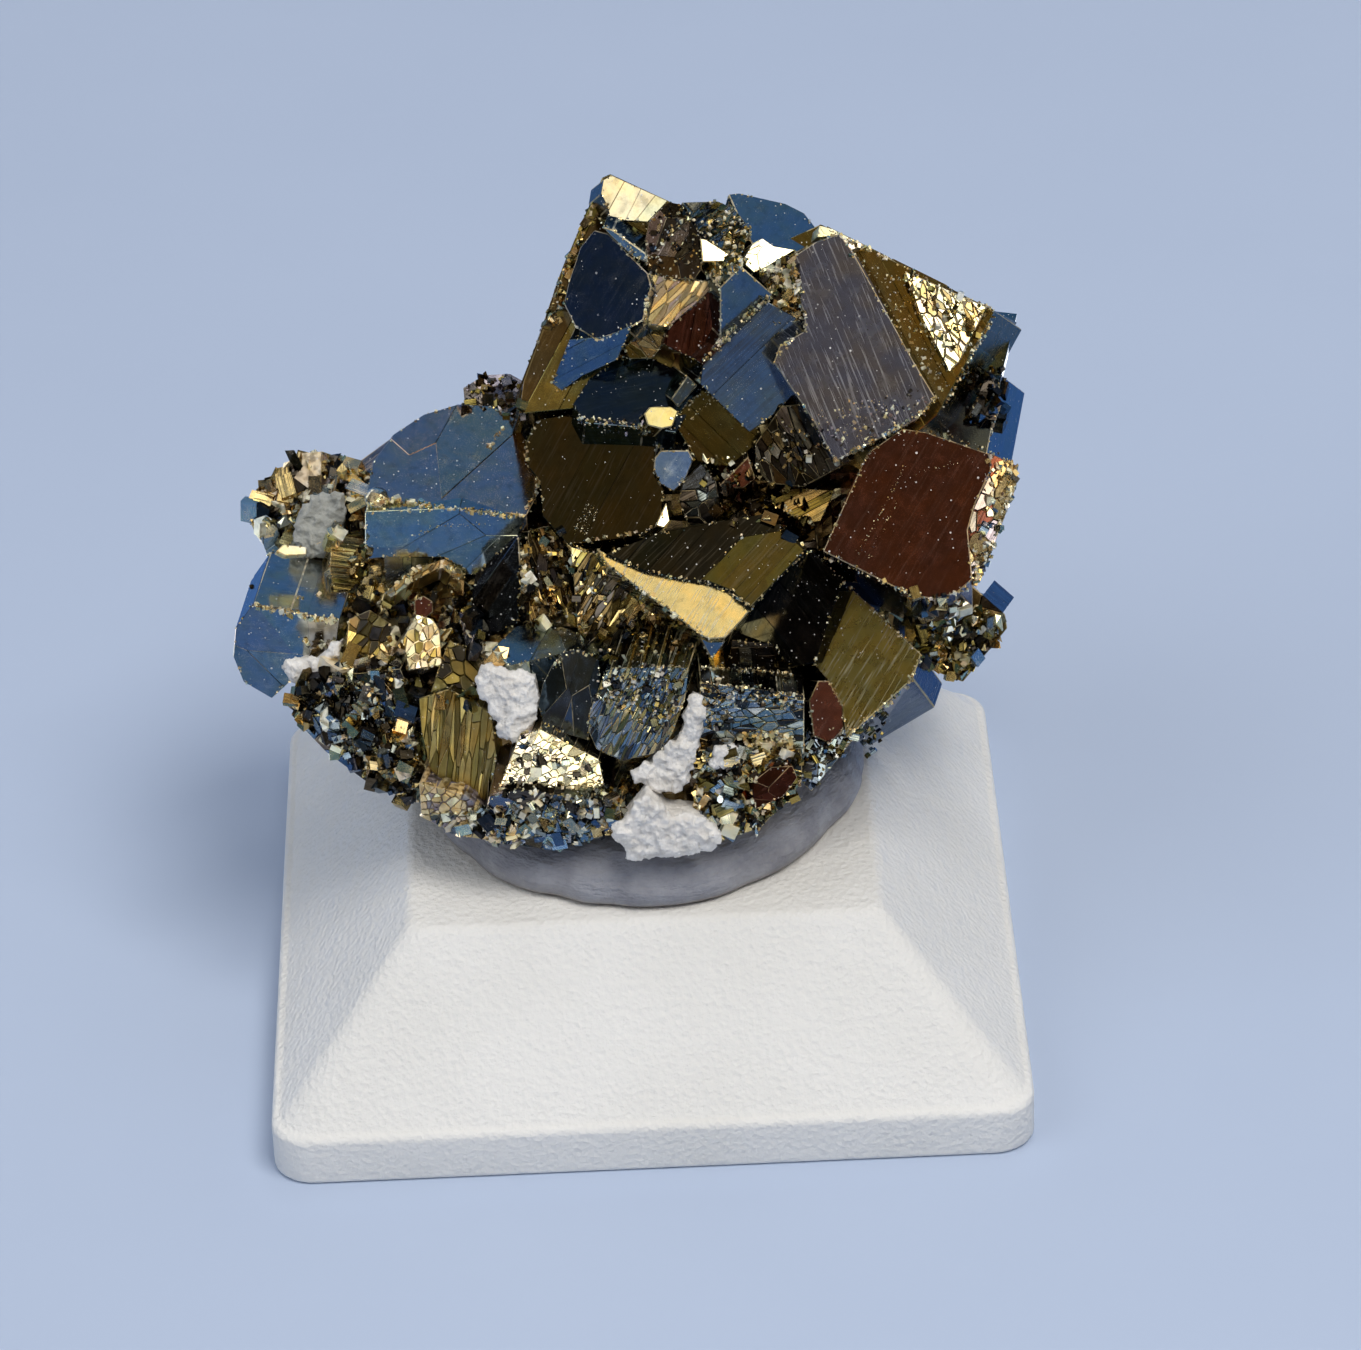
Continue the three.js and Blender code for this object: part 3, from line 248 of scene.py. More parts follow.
      (-17.5, -1.0), (-18.7, -0.3), (-19.15, 0.8), (-19.05, 2.0)]),
    ("left_ladder", 0.2, (18, 18), 4, 0,
     [(-14.9, 6.2), (-13.6, 6.0), (-13.3, 4.8), (-14.0, 2.6), (-14.7, 2.4), (-15.0, 4.6)]),
    ("left_shelf", 1.8, (0, -30), 4, 0,
     [(-12.7, 5.1), (-10.2, 5.0), (-11.2, 4.2), (-12.6, 3.6)]),
    ("navy_wedge", 4.6, (-24, -8), 4, 0,
     [(-6.95, 6.05), (-8.8, 4.3), (-9.0, 2.7), (-8.3, 1.65), (-7.0, 2.2), (-6.8, 3.6)]),
    ("blue_cap", 5.8, (-4, 48), 3.5, 0,
     [(-8.1, 1.1), (-7.0, 2.1), (-5.8, 2.3), (-4.3, 1.8), (-4.0, 1.3), (-5.2, 0.9),
      (-7.3, 0.4)]),
    ("split_rib", 5.0, (10, 4), 3.5, 0,
     [(-6.5, 6.2), (-5.6, 6.4), (-4.9, 5.4), (-4.6, 3.3), (-4.3, 2.0), (-6.6, 2.3),
      (-6.8, 4.6)]),
    ("ribbed_bank", 5.8, (-6, -14), 4, 0,
     [(-4.7, 5.5), (-3.6, 5.2), (0.5, 2.0), (0.9, 1.2), (-0.6, 0.6), (-3.2, 0.6),
      (-4.4, 1.9)]),
    ("bright_lump", 4.5, (15, 11), 2.5, 0.1,
     [(-11.9, 1.5), (-11.3, 2.6), (-10.6, 2.4), (-10.3, 1.9), (-10.2, 0.4), (-11.6, 0.2)]),
    ("left_ribs", 4.3, (-18, -12), 3, 0,
     [(-13.6, -0.4), (-12.2, 0.0), (-11.5, -1.4), (-11.25, -3.4), (-11.5, -4.9),
      (-12.7, -3.9), (-13.4, -2.6)]),
    ("left_knob", 3.5, (6, 16), 2.5, 0.1,
     [(-14.2, 2.4), (-13.3, 2.8), (-12.4, 2.2), (-12.5, 0.9), (-13.5, 0.4), (-14.3, 1.2)]),
    ("left_saddle", 4.7, (4, 20), 2.5, 0.1,
     [(-10.4, 0.2), (-9.9, 1.5), (-8.9, 1.0), (-8.5, 0.0), (-9.3, -1.1), (-10.7, -0.8)]),
    ("left_flash", 1.2, (15, 12), 0.6, 0,
     [(-17.3, 5.3), (-17.0, 5.6), (-16.0, 5.5), (-16.0, 5.15), (-16.9, 5.1)]),
    ("left_splinter", 4.4, (-28, -8), 2.0, 0,
     [(-9.5, 2.7), (-9.2, 1.2), (-8.5, 0.9), (-8.8, 2.3)]),
    ("left_keel", 3.3, (-14, -32), 3, 0,
     [(-16.7, -1.7), (-15.2, -1.5), (-13.4, -2.9), (-11.7, -4.4), (-11.3, -5.5),
      (-13.3, -4.7), (-15.2, -3.3)]),
    ("left_gold_bar", 3.6, (10, 26), 1.2, 0,
     [(-12.7, 3.5), (-12.4, 3.3), (-11.3, 4.1), (-10.2, 4.6), (-9.5, 4.0), (-9.2, 4.3),
      (-10.1, 5.0), (-11.3, 4.6)]),
    ("red_facet", 3.8, (6, 6), 2, 0.1,
     [(-11.4, 3.2), (-11.0, 3.4), (-10.6, 3.15), (-10.6, 2.7), (-11.0, 2.4), (-11.4, 2.6)]),
    ("blue_oval", 6.9, (-16, -14), 4, 0,
     [(-5.5, 0.4), (-5.0, 0.95), (-4.3, 1.1), (-3.5, 0.6), (-3.5, -0.6), (-3.85, -1.6),
      (-3.95, -2.8), (-5.0, -2.5), (-5.9, -2.0), (-6.1, -1.3), (-5.9, -0.4)]),
    ("gold_barrel", 8.2, (-8, -24), 5, 0,
     [(-3.9, -1.6), (-3.4, -0.3), (-3.0, 0.3), (-0.6, 0.4), (0.35, 0.3), (0.2, -1.0),
      (-0.35, -2.5), (-0.8, -3.3), (-2.5, -3.7), (-3.6, -3.2), (-3.95, -2.4)]),
    ("blue_notch", 7.3, (18, -18), 2, 0, [(0.85, 1.55), (1.95, 1.45), (1.35, 0.65)]),
    ("ribbed_block", 7.8, (3, -28), 4.6, 0,
     [(0.85, -0.3), (5.3, -0.85), (5.3, -3.4), (0.7, -2.9)]),
    ("ribbed_step", 6.9, (2, -28), 4.6, 0,
     [(1.1, 0.4), (4.75, 0.1), (4.8, -1.2), (1.0, -1.0)]),
    ("ribbed_top", 6.0, (2, -26), 4, 0,
     [(2.2, 1.5), (4.1, 1.3), (4.3, 0.0), (2.0, 0.2)]),
    ("olive_pane", 5.2, (-10, -14), 4, 0,
     [(-11.2, -1.0), (-9.9, -0.6), (-8.1, -1.6), (-7.9, -3.4), (-8.05, -5.7), (-8.9, -5.7),
      (-10.7, -4.1), (-11.1, -2.4)]),
    ("frosted_bank", 7.0, (-4, -16), 4, 0,
     [(-6.9, -2.6), (-6.0, -2.3), (-3.5, -3.6), (-3.3, -4.6), (-3.9, -5.6), (-5.3, -5.9),
      (-7.8, -4.9)]),
    ("blue_foot", 6.6, (-6, -34), 4, 0,
     [(-8.2, -5.2), (-7.0, -4.9), (-3.8, -5.3), (-2.6, -5.6), (-2.5, -6.3), (-3.8, -7.1),
      (-5.6, -7.5), (-7.9, -7.2), (-8.5, -6.6)]),
    ("pale_foot", 5.2, (-10, -26), 4, 0,
     [(-11.2, -4.6), (-9.2, -5.1), (-8.2, -6.0), (-8.2, -7.1), (-9.4, -6.9), (-11.1, -6.1)]),
    ("gritty_foot", 7.0, (2, -24), 4, 0,
     [(0.5, -3.2), (3.0, -3.2), (5.2, -3.6), (5.2, -4.6), (3.4, -6.6), (2.0, -7.0),
      (0.6, -6.2)]),
    ("rust_foot", 8.0, (14, -10), 2.5, 0.1,
     [(3.1, -5.0), (3.2, -4.5), (3.9, -3.95), (4.8, -3.9), (5.0, -4.4), (4.4, -5.2),
      (3.2, -5.75)]),
    ("left_rubble", 3.6, (-14, -22), 4, 0,
     [(-16.4, -0.2), (-12.0, 0.3), (-11.0, -2.0), (-10.8, -4.8), (-11.6, -5.4),
      (-13.6, -4.0), (-15.2, -2.6), (-16.9, -1.3)]),
    ("back_left_crust", -3.6, (-12, 20), 5, 0,
     [(-18.7, 7.3), (-17.8, 8.4), (-16.2, 9.3), (-15.4, 9.6), (-14.2, 9.2), (-13.4, 7.2),
      (-14.0, 5.2), (-17.2, 5.1), (-18.2, 6.0)]),
    ("back_left_block", -3.0, (-6, -24), 4, 0,
     [(-18.2, 6.4), (-16.6, 6.6), (-16.4, 4.8), (-17.6, 4.9)]),
    ("back_peak", -1.8, (-10, 26), 5, 0,
     [(-9.3, 12.3), (-8.4, 12.85), (-7.3, 12.9), (-6.4, 12.4), (-6.6, 10.9), (-9.2, 11.1)]),
    ("back_right_block", -2.2, (8, -10), 6, 0,
     [(9.6, 3.9), (12.4, 3.9), (13.9, 2.6), (14.0, 2.0), (12.1, -0.3), (10.5, 0.3),
      (9.6, 1.4)]),
]

# The colours that the faces show, set as the metal's own colour: partly bare brass-gold (GOLD, TAN)
# and tarnish, partly painted reflection. BLUE and NAVY paint the blue surroundings that a leaning
# face mirrors, DARK and the darker browns and olives the dark room in front, CREAM a lamp's glint.
GOLD = (0.70, 0.56, 0.28)
OLIVE = (0.26, 0.22, 0.08)
BROWN = (0.15, 0.11, 0.055)
RUST = (0.18, 0.065, 0.045)
NAVY = (0.20, 0.25, 0.32)
BLUE = (0.40, 0.47, 0.50)
GREY = (0.36, 0.33, 0.37)
DARK = (0.07, 0.065, 0.06)
CREAM = (0.97, 0.91, 0.72)
TAN = (0.70, 0.58, 0.34)

# How each crystal looks: colour, roughness, and how its face is broken up. A face is plain, or cut
# in strips ("strips", angle on the picture, narrowest, widest, height, tilt) or in fragments
# ("shards", how many, height, tilt, how much longer than wide and at what angle, and the fragments'
# own lean where it isn't the crystal's). Where the colour is a list, each strip or fragment takes
# one of them.
# Each colour below is partly painted reflection, as the colours above are.
LOOKS = {
    "crown": ((OLIVE, BROWN, OLIVE), 0.14, ("strips", 62, 0.4, 1.4, 0.04, 1.2)),
    "crown_facet": ((0.25, 0.24, 0.19), 0.16, ("shards", 4, 0.015, 0.5, 3.0, 60)),
    "crown_shelf": (OLIVE, 0.15, ("strips", -25, 0.25, 0.6, 0.04, 2.0)),
    "navy_pentagon": (NAVY, 0.10, None),
    "blue_bevel": ((0.30, 0.38, 0.44), 0.14, None),
    "blue_wedge": ((0.15, 0.23, 0.36), 0.12, ("strips", 28, 0.4, 0.9, 0.03, 0.6)),
    "dark_ledge": ((0.055, 0.085, 0.115), 0.12, ("strips", 20, 0.9, 2.1, 0.02, 0.5)),
    "dark_tooth": ((DARK, DARK, BROWN, GREY), 0.16, ("shards", 8, 0.06, 5.0, 1.4, 60)),
    "striped_top": ((GOLD, OLIVE, BLUE, DARK), 0.16, ("shards", 60, 0.05, 7.0, 3.0, 38)),
    "crown_strip": (CREAM, 0.3, ("shards", 6, 0.04, 3.0, 1.5, -30)),
    "blue_cube_top": ((0.25, 0.32, 0.36), 0.10, None),
    "blue_sliver": (BLUE, 0.1, None),
    "blue_crown": (BLUE, 0.12, None),
    "bright_left": (CREAM, 0.14, None),
    "bright_right": (CREAM, 0.16, ("shards", 5, 0.05, 5.0, 2.0, 30)),
    "beige_face": (((0.34, 0.31, 0.26), GREY, TAN, (0.34, 0.31, 0.26)), 0.24,
                   ("shards", 26, 0.02, 3.0, 4.0, 50)),
    "red_brown_face": (RUST, 0.14, ("strips", 80, 0.5, 1.0, 0.03, 1.0)),
    "striped_gold": ((GOLD, OLIVE, TAN), 0.13, ("shards", 12, 0.05, 4.0, 3.0, -40)),
    "blue_cube": ((0.36, 0.44, 0.47), 0.08, ("strips", 44, 1.6, 2.6, 0.05, 0.3)),
    "pit_wall": ((GOLD, DARK, DARK, OLIVE), 0.16, ("shards", 26, 0.12, 10.0, 1.2, 0)),
    "olive_cube": (OLIVE, 0.12, ("strips", -44, 0.6, 1.2, 0.03, 0.8)),
    "cream_facet": ((0.22, 0.19, 0.10), 0.16, None),
    "olive_slot": (OLIVE, 0.14, None),
    "blue_button": (BLUE, 0.10, None),
    "brown_plate": ((0.062, 0.052, 0.020), 0.08, ("strips", 62, 1.2, 2.6, 0.012, 0.2)),
    "white_flash": (CREAM, 0.12, None),
    "dark_facet": ((DARK, NAVY, BROWN), 0.15, ("shards", 14, 0.08, 6.0, 1.4, 30)),
    "copper_facet": (RUST, 0.16, None),
    "dark_block": ((DARK, (0.03, 0.028, 0.02), DARK, BROWN), 0.18,
                   ("shards", 40, 0.10, 9.0, 2.4, -60)),
    "gold_slot": ((GOLD, OLIVE), 0.12, ("strips", 28, 0.3, 0.6, 0.05, 2.0)),
    "dark_gully": ((DARK, BROWN, OLIVE, DARK), 0.16, ("shards", 26, 0.12, 9.0, 1.5, 30)),
    "grey_slab": ((0.180, 0.190, 0.265), 0.22, None),
    "gold_wall": (((0.44, 0.31, 0.08), (0.36, 0.28, 0.09), (0.30, 0.22, 0.06)), 0.16,
                  ("strips", -62, 0.4, 1.1, 0.05, 1.6)),
    "gold_swirl": ((CREAM, CREAM, CREAM, GOLD, TAN), 0.2,
                   ("shards", 60, 0.08, 4.0, 2.4, -62, (15, 12))),
    "right_step": ((0.30, 0.40, 0.46), 0.12, ("shards", 4, 0.02, 0.8, 1.6, -70, (-10, -30))),
    "right_pit": (DARK, 0.2, ("shards", 6, 0.1, 8.0, 1.2, 30)),
    "brown_slab": ((0.175, 0.072, 0.058), 0.13, None),
    "brown_slab_edge": ((RUST, GREY, RUST, TAN), 0.2, ("shards", 30, 0.07, 8.0, 1.2, 60)),
    "tan_plate": ((0.78, 0.66, 0.42), 0.16, None),
    "dark_plate": ((0.012, 0.012, 0.010), 0.13, ("strips", 48, 0.5, 1.6, 0.015, 0.5)),
    "olive_plate": ((0.075, 0.066, 0.024), 0.16, ("strips", 48, 0.4, 0.9, 0.01, 0.5)),
    "dark_cube": (DARK, 0.12, ("strips", -50, 0.8, 1.8, 0.04, 1.0)),
    "olive_slab": ((0.30, 0.27, 0.10), 0.26, None),
    "rust_facet": (RUST, 0.2, None),
    "olive_foot": ((BLUE, NAVY, DARK), 0.14, ("shards", 12, 0.08, 5.0, 1.2, 30)),
    "left_cube": ((0.54, 0.49, 0.44), 0.13, ("shards", 6, 0.012, 0.5, 1.6, 78)),
    "left_cube_front": (BLUE, 0.12, ("shards", 5, 0.03, 0.8, 2.0, 10)),
    "left_block": ((0.44, 0.47, 0.48), 0.12, ("shards", 4, 0.02, 0.8, 1.0, 0)),
    "left_ladder": ((GOLD, OLIVE, TAN), 0.16, ("strips", -5, 0.15, 0.4, 0.12, 4.0)),
    "left_shelf": (BLUE, 0.15, ("shards", 4, 0.05, 2.0, 1.2, 30)),
    "navy_wedge": ((NAVY, DARK, NAVY), 0.12, ("strips", 55, 0.3, 0.9, 0.05, 2.0)),
    "blue_cap": (BLUE, 0.12, ("shards", 4, 0.05, 2.0, 1.2, 30)),
    "split_rib": ((DARK, BROWN, OLIVE, GOLD), 0.14, ("shards", 70, 0.12, 7.0, 4.0, 105)),
    "ribbed_bank": ((OLIVE, DARK, GOLD, BROWN, DARK), 0.14, ("shards", 80, 0.08, 6.0, 4.0, 60)),
    "bright_lump": ((CREAM, CREAM, TAN, CREAM, OLIVE), 0.3, ("shards", 34, 0.08, 8.0, 1.3, 70)),
    "left_ribs": ((DARK, BROWN, DARK, OLIVE), 0.16, ("shards", 60, 0.10, 8.0, 3.5, 100)),
    "left_knob": (((0.26, 0.22, 0.09), OLIVE, DARK, GOLD), 0.3,
                  ("shards", 22, 0.10, 9.0, 1.4, 60)),
    "left_saddle": (((0.30, 0.26, 0.10), OLIVE, GOLD, DARK), 0.3,
                    ("shards", 16, 0.10, 7.0, 1.6, -60)),
    "left_flash": (CREAM, 0.4, None),
    "left_splinter": (GREY, 0.18, ("strips", 70, 0.15, 0.3, 0.06, 5.0)),
    "left_keel": ((BLUE, NAVY, DARK, BLUE), 0.18, ("shards", 26, 0.10, 7.0, 1.6, -40)),
    "left_gold_bar": ((CREAM, GOLD, TAN), 0.3, ("shards", 14, 0.06, 8.0, 2.2, 40)),
    "red_facet": (RUST, 0.2, None),
    "blue_oval": ((0.15, 0.2, 0.27), 0.12, ("shards", 7, 0.05, 3.0, 2.6, 80)),
    "gold_barrel": ((OLIVE, DARK, GOLD, BLUE, BLUE, NAVY), 0.14,
                    ("shards", 210, 0.05, 4.0, 4.0, 62)),
    "blue_notch": ((0.30, 0.38, 0.42), 0.1, None),
    "ribbed_block": ((BLUE, BLUE, BLUE, DARK), 0.15, ("shards", 110, 0.05, 4.0, 2.6, 5)),
    "ribbed_step": ((BROWN, DARK, GOLD), 0.15, ("shards", 60, 0.06, 6.0, 3.0, 2)),
    "ribbed_top": (DARK, 0.14, ("strips", 2, 0.2, 0.5, 0.06, 2.0)),
    "olive_pane": (((0.55, 0.47, 0.20), (0.47, 0.40, 0.16), (0.40, 0.33, 0.13), OLIVE), 0.3,
                   ("shards", 46, 0.05, 5.0, 9.0, 84)),
    "frosted_bank": ((CREAM, CREAM, CREAM, (0.8, 0.76, 0.6)), 0.15,
                     ("shards", 150, 0.04, 3.0, 1.5, 20)),
    "blue_foot": ((BLUE, NAVY, BLUE, DARK, GREY), 0.16, ("shards", 40, 0.08, 6.0, 1.6, 10)),
    "pale_foot": ((TAN, GREY, TAN, CREAM), 0.45, ("shards", 60, 0.06, 6.0, 1.2, 0)),
    "gritty_foot": ((GOLD, OLIVE, DARK, GOLD, BROWN), 0.2, ("shards", 60, 0.14, 9.0, 1.3, 20)),
    "rust_foot": (RUST, 0.2, ("shards", 5, 0.05, 3.0, 1.2, 30)),
    "left_rubble": ((OLIVE, DARK, GOLD, BROWN, DARK), 0.18, ("shards", 50, 0.16, 9.0, 2.0, -50)),
    "back_left_crust": ((GOLD, TAN, OLIVE, GREY), 0.2, ("shards", 30, 0.2, 9.0, 1.0, 0)),
    "back_left_block": (BLUE, 0.16, ("shards", 4, 0.05, 2.0, 1.2, 30)),
    "back_peak": (GREY, 0.2, ("shards", 6, 0.08, 5.0, 1.2, 30)),
    "back_right_block": ((OLIVE, BROWN, TAN, DARK), 0.18, ("shards", 30, 0.16, 9.0, 1.4, 30)),
}

# Crystals of the sides and the back: middle as u, v, w, edge lengths, turn in degrees
BACK_CRYSTALS = [
    ((2.6, 14.8, -4.6), (6.2, 5.4, 5.8), (28, -10, 20)),
    ((8.6, 12.0, -5.4), (5.6, 5.2, 5.4), (10, 24, -14)),
    ((-1.8, 15.4, -3.4), (4.2, 4.0, 4.4), (-16, 22, 8)),
    ((-3.6, 9.6, -6.2), (5.0, 4.6, 5.0), (34, 12, -20)),
    ((0.4, 11.2, -6.4), (6.2, 4.6, 6.0), (-8, 18, 12)),
    ((5.2, 9.4, -7.6), (5.4, 4.6, 5.0), (22, -28, 16)),
    ((10.2, 8.4, -5.8), (4.6, 4.4, 4.6), (-24, 10, 30)),
    ((9.2, 4.4, -5.6), (4.2, 4.0, 4.0), (18, 30, -10)),
    ((5.0, 5.6, -7.6), (5.0, 4.4, 4.6), (-18, 14, 24)),
    ((-0.8, 6.4, -8.0), (5.4, 4.8, 5.0), (26, 8, -16)),
    ((-7.4, 6.4, -6.4), (5.0, 4.4, 4.8), (-10, 32, 10)),
    ((-11.8, 7.0, -3.4), (4.4, 4.2, 4.2), (14, -22, 28)),
    ((-14.2, 3.6, -3.2), (3.8, 3.6, 3.6), (30, 14, -24)),
    ((1.6, 2.6, -7.8), (4.2, 3.8, 3.6), (12, -16, 34)),
    ((-5.4, 3.4, -7.4), (4.0, 3.6, 3.6), (-14, 20, 18)),
    ((2.4, 11.4, -8.2), (3.0, 2.8, 3.0), (36, 18, 6)),
    ((-3.6, 12.8, -7.4), (2.8, 3.0, 2.8), (12, 38, -22)),
]

# The rough pyrite behind and between the crystals, as corners of solid lumps
LOWER_MASS = [
    (-8, -6.6, 11.3), (-3, -8.2, 11.3), (3, -8.0, 11.3), (6, -6.0, 11.9), (8, 0, 12.0),
    (5, 6, 11.3), (-3, 6.6, 11.3), (-9, 3, 11.8), (-14.6, -1.6, 14.6), (-14.6, 3.0, 16.6),
    (-12, -4.6, 13.6), (11.4, -1.2, 15.6), (11.6, 4.2, 17.6), (6, 9.4, 18), (-4, 9.6, 18),
    (-10.6, 6.6, 17.4), (-11, 3.6, 19.8), (-10.4, -0.2, 18.0), (-6, -2.2, 18.4),
    (0, -4.0, 18.2), (7, -3.4, 17.6), (-4, 6, 22), (7, 6, 22),
]
UPPER_MASS = [
    (-6.4, 11, 4.4), (-5.2, 15, 4.4), (-3.2, 20, 4.2), (2.4, 19.4, 3.8), (6.0, 18.2, 4.4),
    (11.8, 15.2, 3.8), (10.4, 9, 4.2), (10.2, 4, 3.6), (0, 4, 4.4), (-5.4, 5.4, 3.8),
    (-6.6, 9, -4.4), (-3, 18.6, -3.4), (4.4, 18.6, -4.4), (12.4, 13.6, -3.6), (12.6, 4, -5.4),
    (-6.6, 3, -6.0), (3, 14.5, -7.4), (9.6, 8.6, -8.0),
]

# Beds of small crystals in the hollows, as an outline on the picture, how many, their edge lengths,
# colours and roughness
BEDS = [
    ([(-5.85, 14.9), (-5.2, 14.8), (-4.35, 18.4), (-3.6, 19.6), (-4.3, 19.4), (-5.1, 17.4)],
     130, (0.08, 0.42), (GOLD, TAN, OLIVE, GOLD), 0.2),
    ([(7.5, 17.9), (9.6, 17.0), (10.6, 14.6), (11.6, 12.4), (11.0, 12.0), (9.2, 15.2)],
     150, (0.05, 0.16), (CREAM, GOLD, CREAM), 0.2),
    ([(5.9, 11.4), (6.7, 9.7), (9.6, 11.2), (8.8, 12.0), (7.2, 11.9)],
     90, (0.05, 0.13), (CREAM, GREY, TAN), 0.42),
    ([(3.4, 9.2), (4.4, 11.2), (6.0, 9.9), (5.2, 8.4)],
     60, (0.07, 0.26), (GOLD, CREAM, OLIVE), 0.2),
    ([(-18.7, 7.2), (-17.2, 9.2), (-15.2, 9.7), (-13.4, 8.6), (-13.6, 6.0), (-16.6, 5.0)],
     260, (0.3, 0.95), (GOLD, TAN, CREAM, DARK), 0.2),
    ([(-15.0, 0.2), (-14.4, 2.6), (-12.6, 3.8), (-9.2, 3.8), (-7.4, 0.6), (-8.4, -1.4),
      (-11.0, -1.2)],
     230, (0.2, 1.0), (GOLD, OLIVE, DARK, DARK, CREAM), 0.2),
    ([(-17.2, -1.0), (-15.0, 0.2), (-11.4, -1.2), (-11.2, -5.8), (-13.4, -4.6), (-15.8, -2.4)],
     380, (0.14, 0.7), (BLUE, NAVY, DARK, GOLD, CREAM, DARK), 0.18),
    ([(-14.4, -0.2), (-12.0, 0.6), (-11.6, -1.6), (-13.0, -2.2)],
     140, (0.12, 0.4), (GOLD, CREAM, DARK, OLIVE), 0.18),
    ([(-14.0, 5.0), (-13.3, 6.4), (-13.0, 3.2), (-14.4, 2.2)],
     60, (0.2, 0.5), (GOLD, OLIVE, DARK), 0.18),
    ([(-7.9, -4.9), (-6.8, -2.6), (-3.6, -3.4), (-3.2, -5.4), (-5.6, -6.2)],
     150, (0.12, 0.36), (CREAM, CREAM, DARK, BLUE), 0.2),
    ([(-11.4, -6.2), (-8.4, -5.6), (-3.0, -5.2), (-2.6, -6.6), (-4.6, -7.5), (-9.8, -7.0)],
     330, (0.14, 0.6), (BLUE, NAVY, CREAM, DARK, CREAM, TAN), 0.2),
    ([(0.6, -5.9), (0.6, -3.2), (3.2, -3.0), (5.3, -3.4), (5.2, -4.9), (3.4, -6.7), (1.6, -7.0)],
     520, (0.14, 0.6), (GOLD, OLIVE, DARK, BLUE, CREAM), 0.18),
    ([(-3.6, -5.0), (-1.9, -4.0), (-1.2, -5.2), (-2.6, -6.4)],
     110, (0.15, 0.4), (BLUE, GOLD, OLIVE), 0.2),
    ([(-7.0, 2.4), (-6.7, 6.2), (-5.0, 6.3), (-4.4, 3.6), (-4.6, 2.0)],
     130, (0.12, 0.6), (DARK, BROWN, OLIVE, GOLD, CREAM), 0.18),
    ([(1.6, 6.0), (1.5, 8.0), (3.4, 9.0), (5.4, 7.8), (5.6, 5.6), (3.4, 6.6)],
     110, (0.12, 0.6), (DARK, BROWN, OLIVE, GOLD), 0.18),
    ([(0.9, 8.1), (1.0, 9.4), (2.0, 9.4), (2.6, 8.6)],
     40, (0.12, 0.4), (GOLD, CREAM, OLIVE), 0.16),
    ([(0.9, 17.1), (2.4, 18.2), (3.0, 17.6), (1.6, 16.9)],
     60, (0.10, 0.4), (GOLD, OLIVE, CREAM), 0.16),
    ([(4.1, 15.9), (3.4, 17.3), (5.0, 18.0), (5.2, 16.3), (5.0, 15.5)],
     190, (0.10, 0.4), (GOLD, OLIVE, DARK, CREAM, CREAM), 0.18),
    ([(-1.4, 17.4), (-1.4, 19.2), (-0.5, 20.2), (0.6, 19.8), (1.0, 17.3)],
     130, (0.08, 0.26), (DARK, GOLD, CREAM, DARK), 0.16),
    ([(0.8, 19.4), (2.1, 19.9), (2.9, 19.0), (2.6, 18.0), (1.4, 18.6)],
     110, (0.08, 0.24), (DARK, GOLD, CREAM, OLIVE), 0.16),
    ([(9.8, 17.2), (13.3, 15.6), (12.1, 13.2), (10.6, 15.0)],
     110, (0.10, 0.35), (GOLD, CREAM, OLIVE), 0.16),
    ([(12.4, 10.8), (12.3, 13.0), (13.9, 13.2), (13.8, 10.4)],
     60, (0.15, 0.6), (DARK, NAVY, BROWN), 0.16),
    ([(9.4, 3.6), (11.8, 3.4), (13.9, 2.4), (13.2, 0.9), (11.6, -0.4), (10.4, 0.4)],
     300, (0.18, 0.7), (OLIVE, TAN, DARK, BLUE, CREAM), 0.2),
    ([(13.1, 9.6), (14.5, 9.0), (14.0, 6.4), (13.0, 4.0), (12.4, 4.4), (13.0, 7.6)],
     130, (0.12, 0.35), (GREY, CREAM, TAN, BLUE), 0.2),
    ([(5.3, -3.0), (7.4, -2.4), (9.0, -1.4), (8.4, -3.2), (6.4, -4.6), (5.0, -5.4)],
     150, (0.14, 0.45), (BLUE, DARK, OLIVE), 0.18),
    ([(-9.4, 11.2), (-9.0, 12.7), (-7.0, 12.9), (-6.6, 11.0)],
     90, (0.15, 0.5), (GREY, BROWN, OLIVE), 0.18),
    ([(-4.7, 5.4), (-3.3, 5.0), (0.6, 1.9), (1.0, 0.9), (-3.2, 0.4), (-4.4, 1.8)],
     180, (0.10, 0.4), (OLIVE, GOLD, DARK, BROWN, CREAM), 0.16),
    ([(-3.8, -1.0), (-2.6, 0.4), (0.2, 0.3), (0.0, -1.2), (-0.8, -2.6), (-1.8, -2.0)],
     330, (0.07, 0.24), (CREAM, CREAM, GOLD, DARK, OLIVE), 0.2),
    ([(0.9, -0.1), (1.9, -0.1), (5.3, -0.9), (5.2, -1.5), (2.4, -1.2), (1.9, -2.2), (0.9, -2.4)],
     230, (0.07, 0.24), (CREAM, CREAM, GOLD, DARK), 0.2),
    ([(2.4, -2.6), (3.4, -2.2), (4.8, -2.6), (4.6, -3.4), (2.8, -3.2)],
     110, (0.08, 0.26), (CREAM, CREAM, TAN), 0.3),
    ([(5.4, 11.0), (6.6, 9.2), (10.6, 11.2), (10.4, 12.4), (7.0, 11.4)],
     120, (0.05, 0.16), (CREAM, GREY, DARK), 0.2),
    ([(-4.6, 10.9), (-1.6, 10.9), (-1.4, 10.3), (-3.4, 10.4)],
     60, (0.06, 0.2), (CREAM, GREY, OLIVE), 0.2),
]

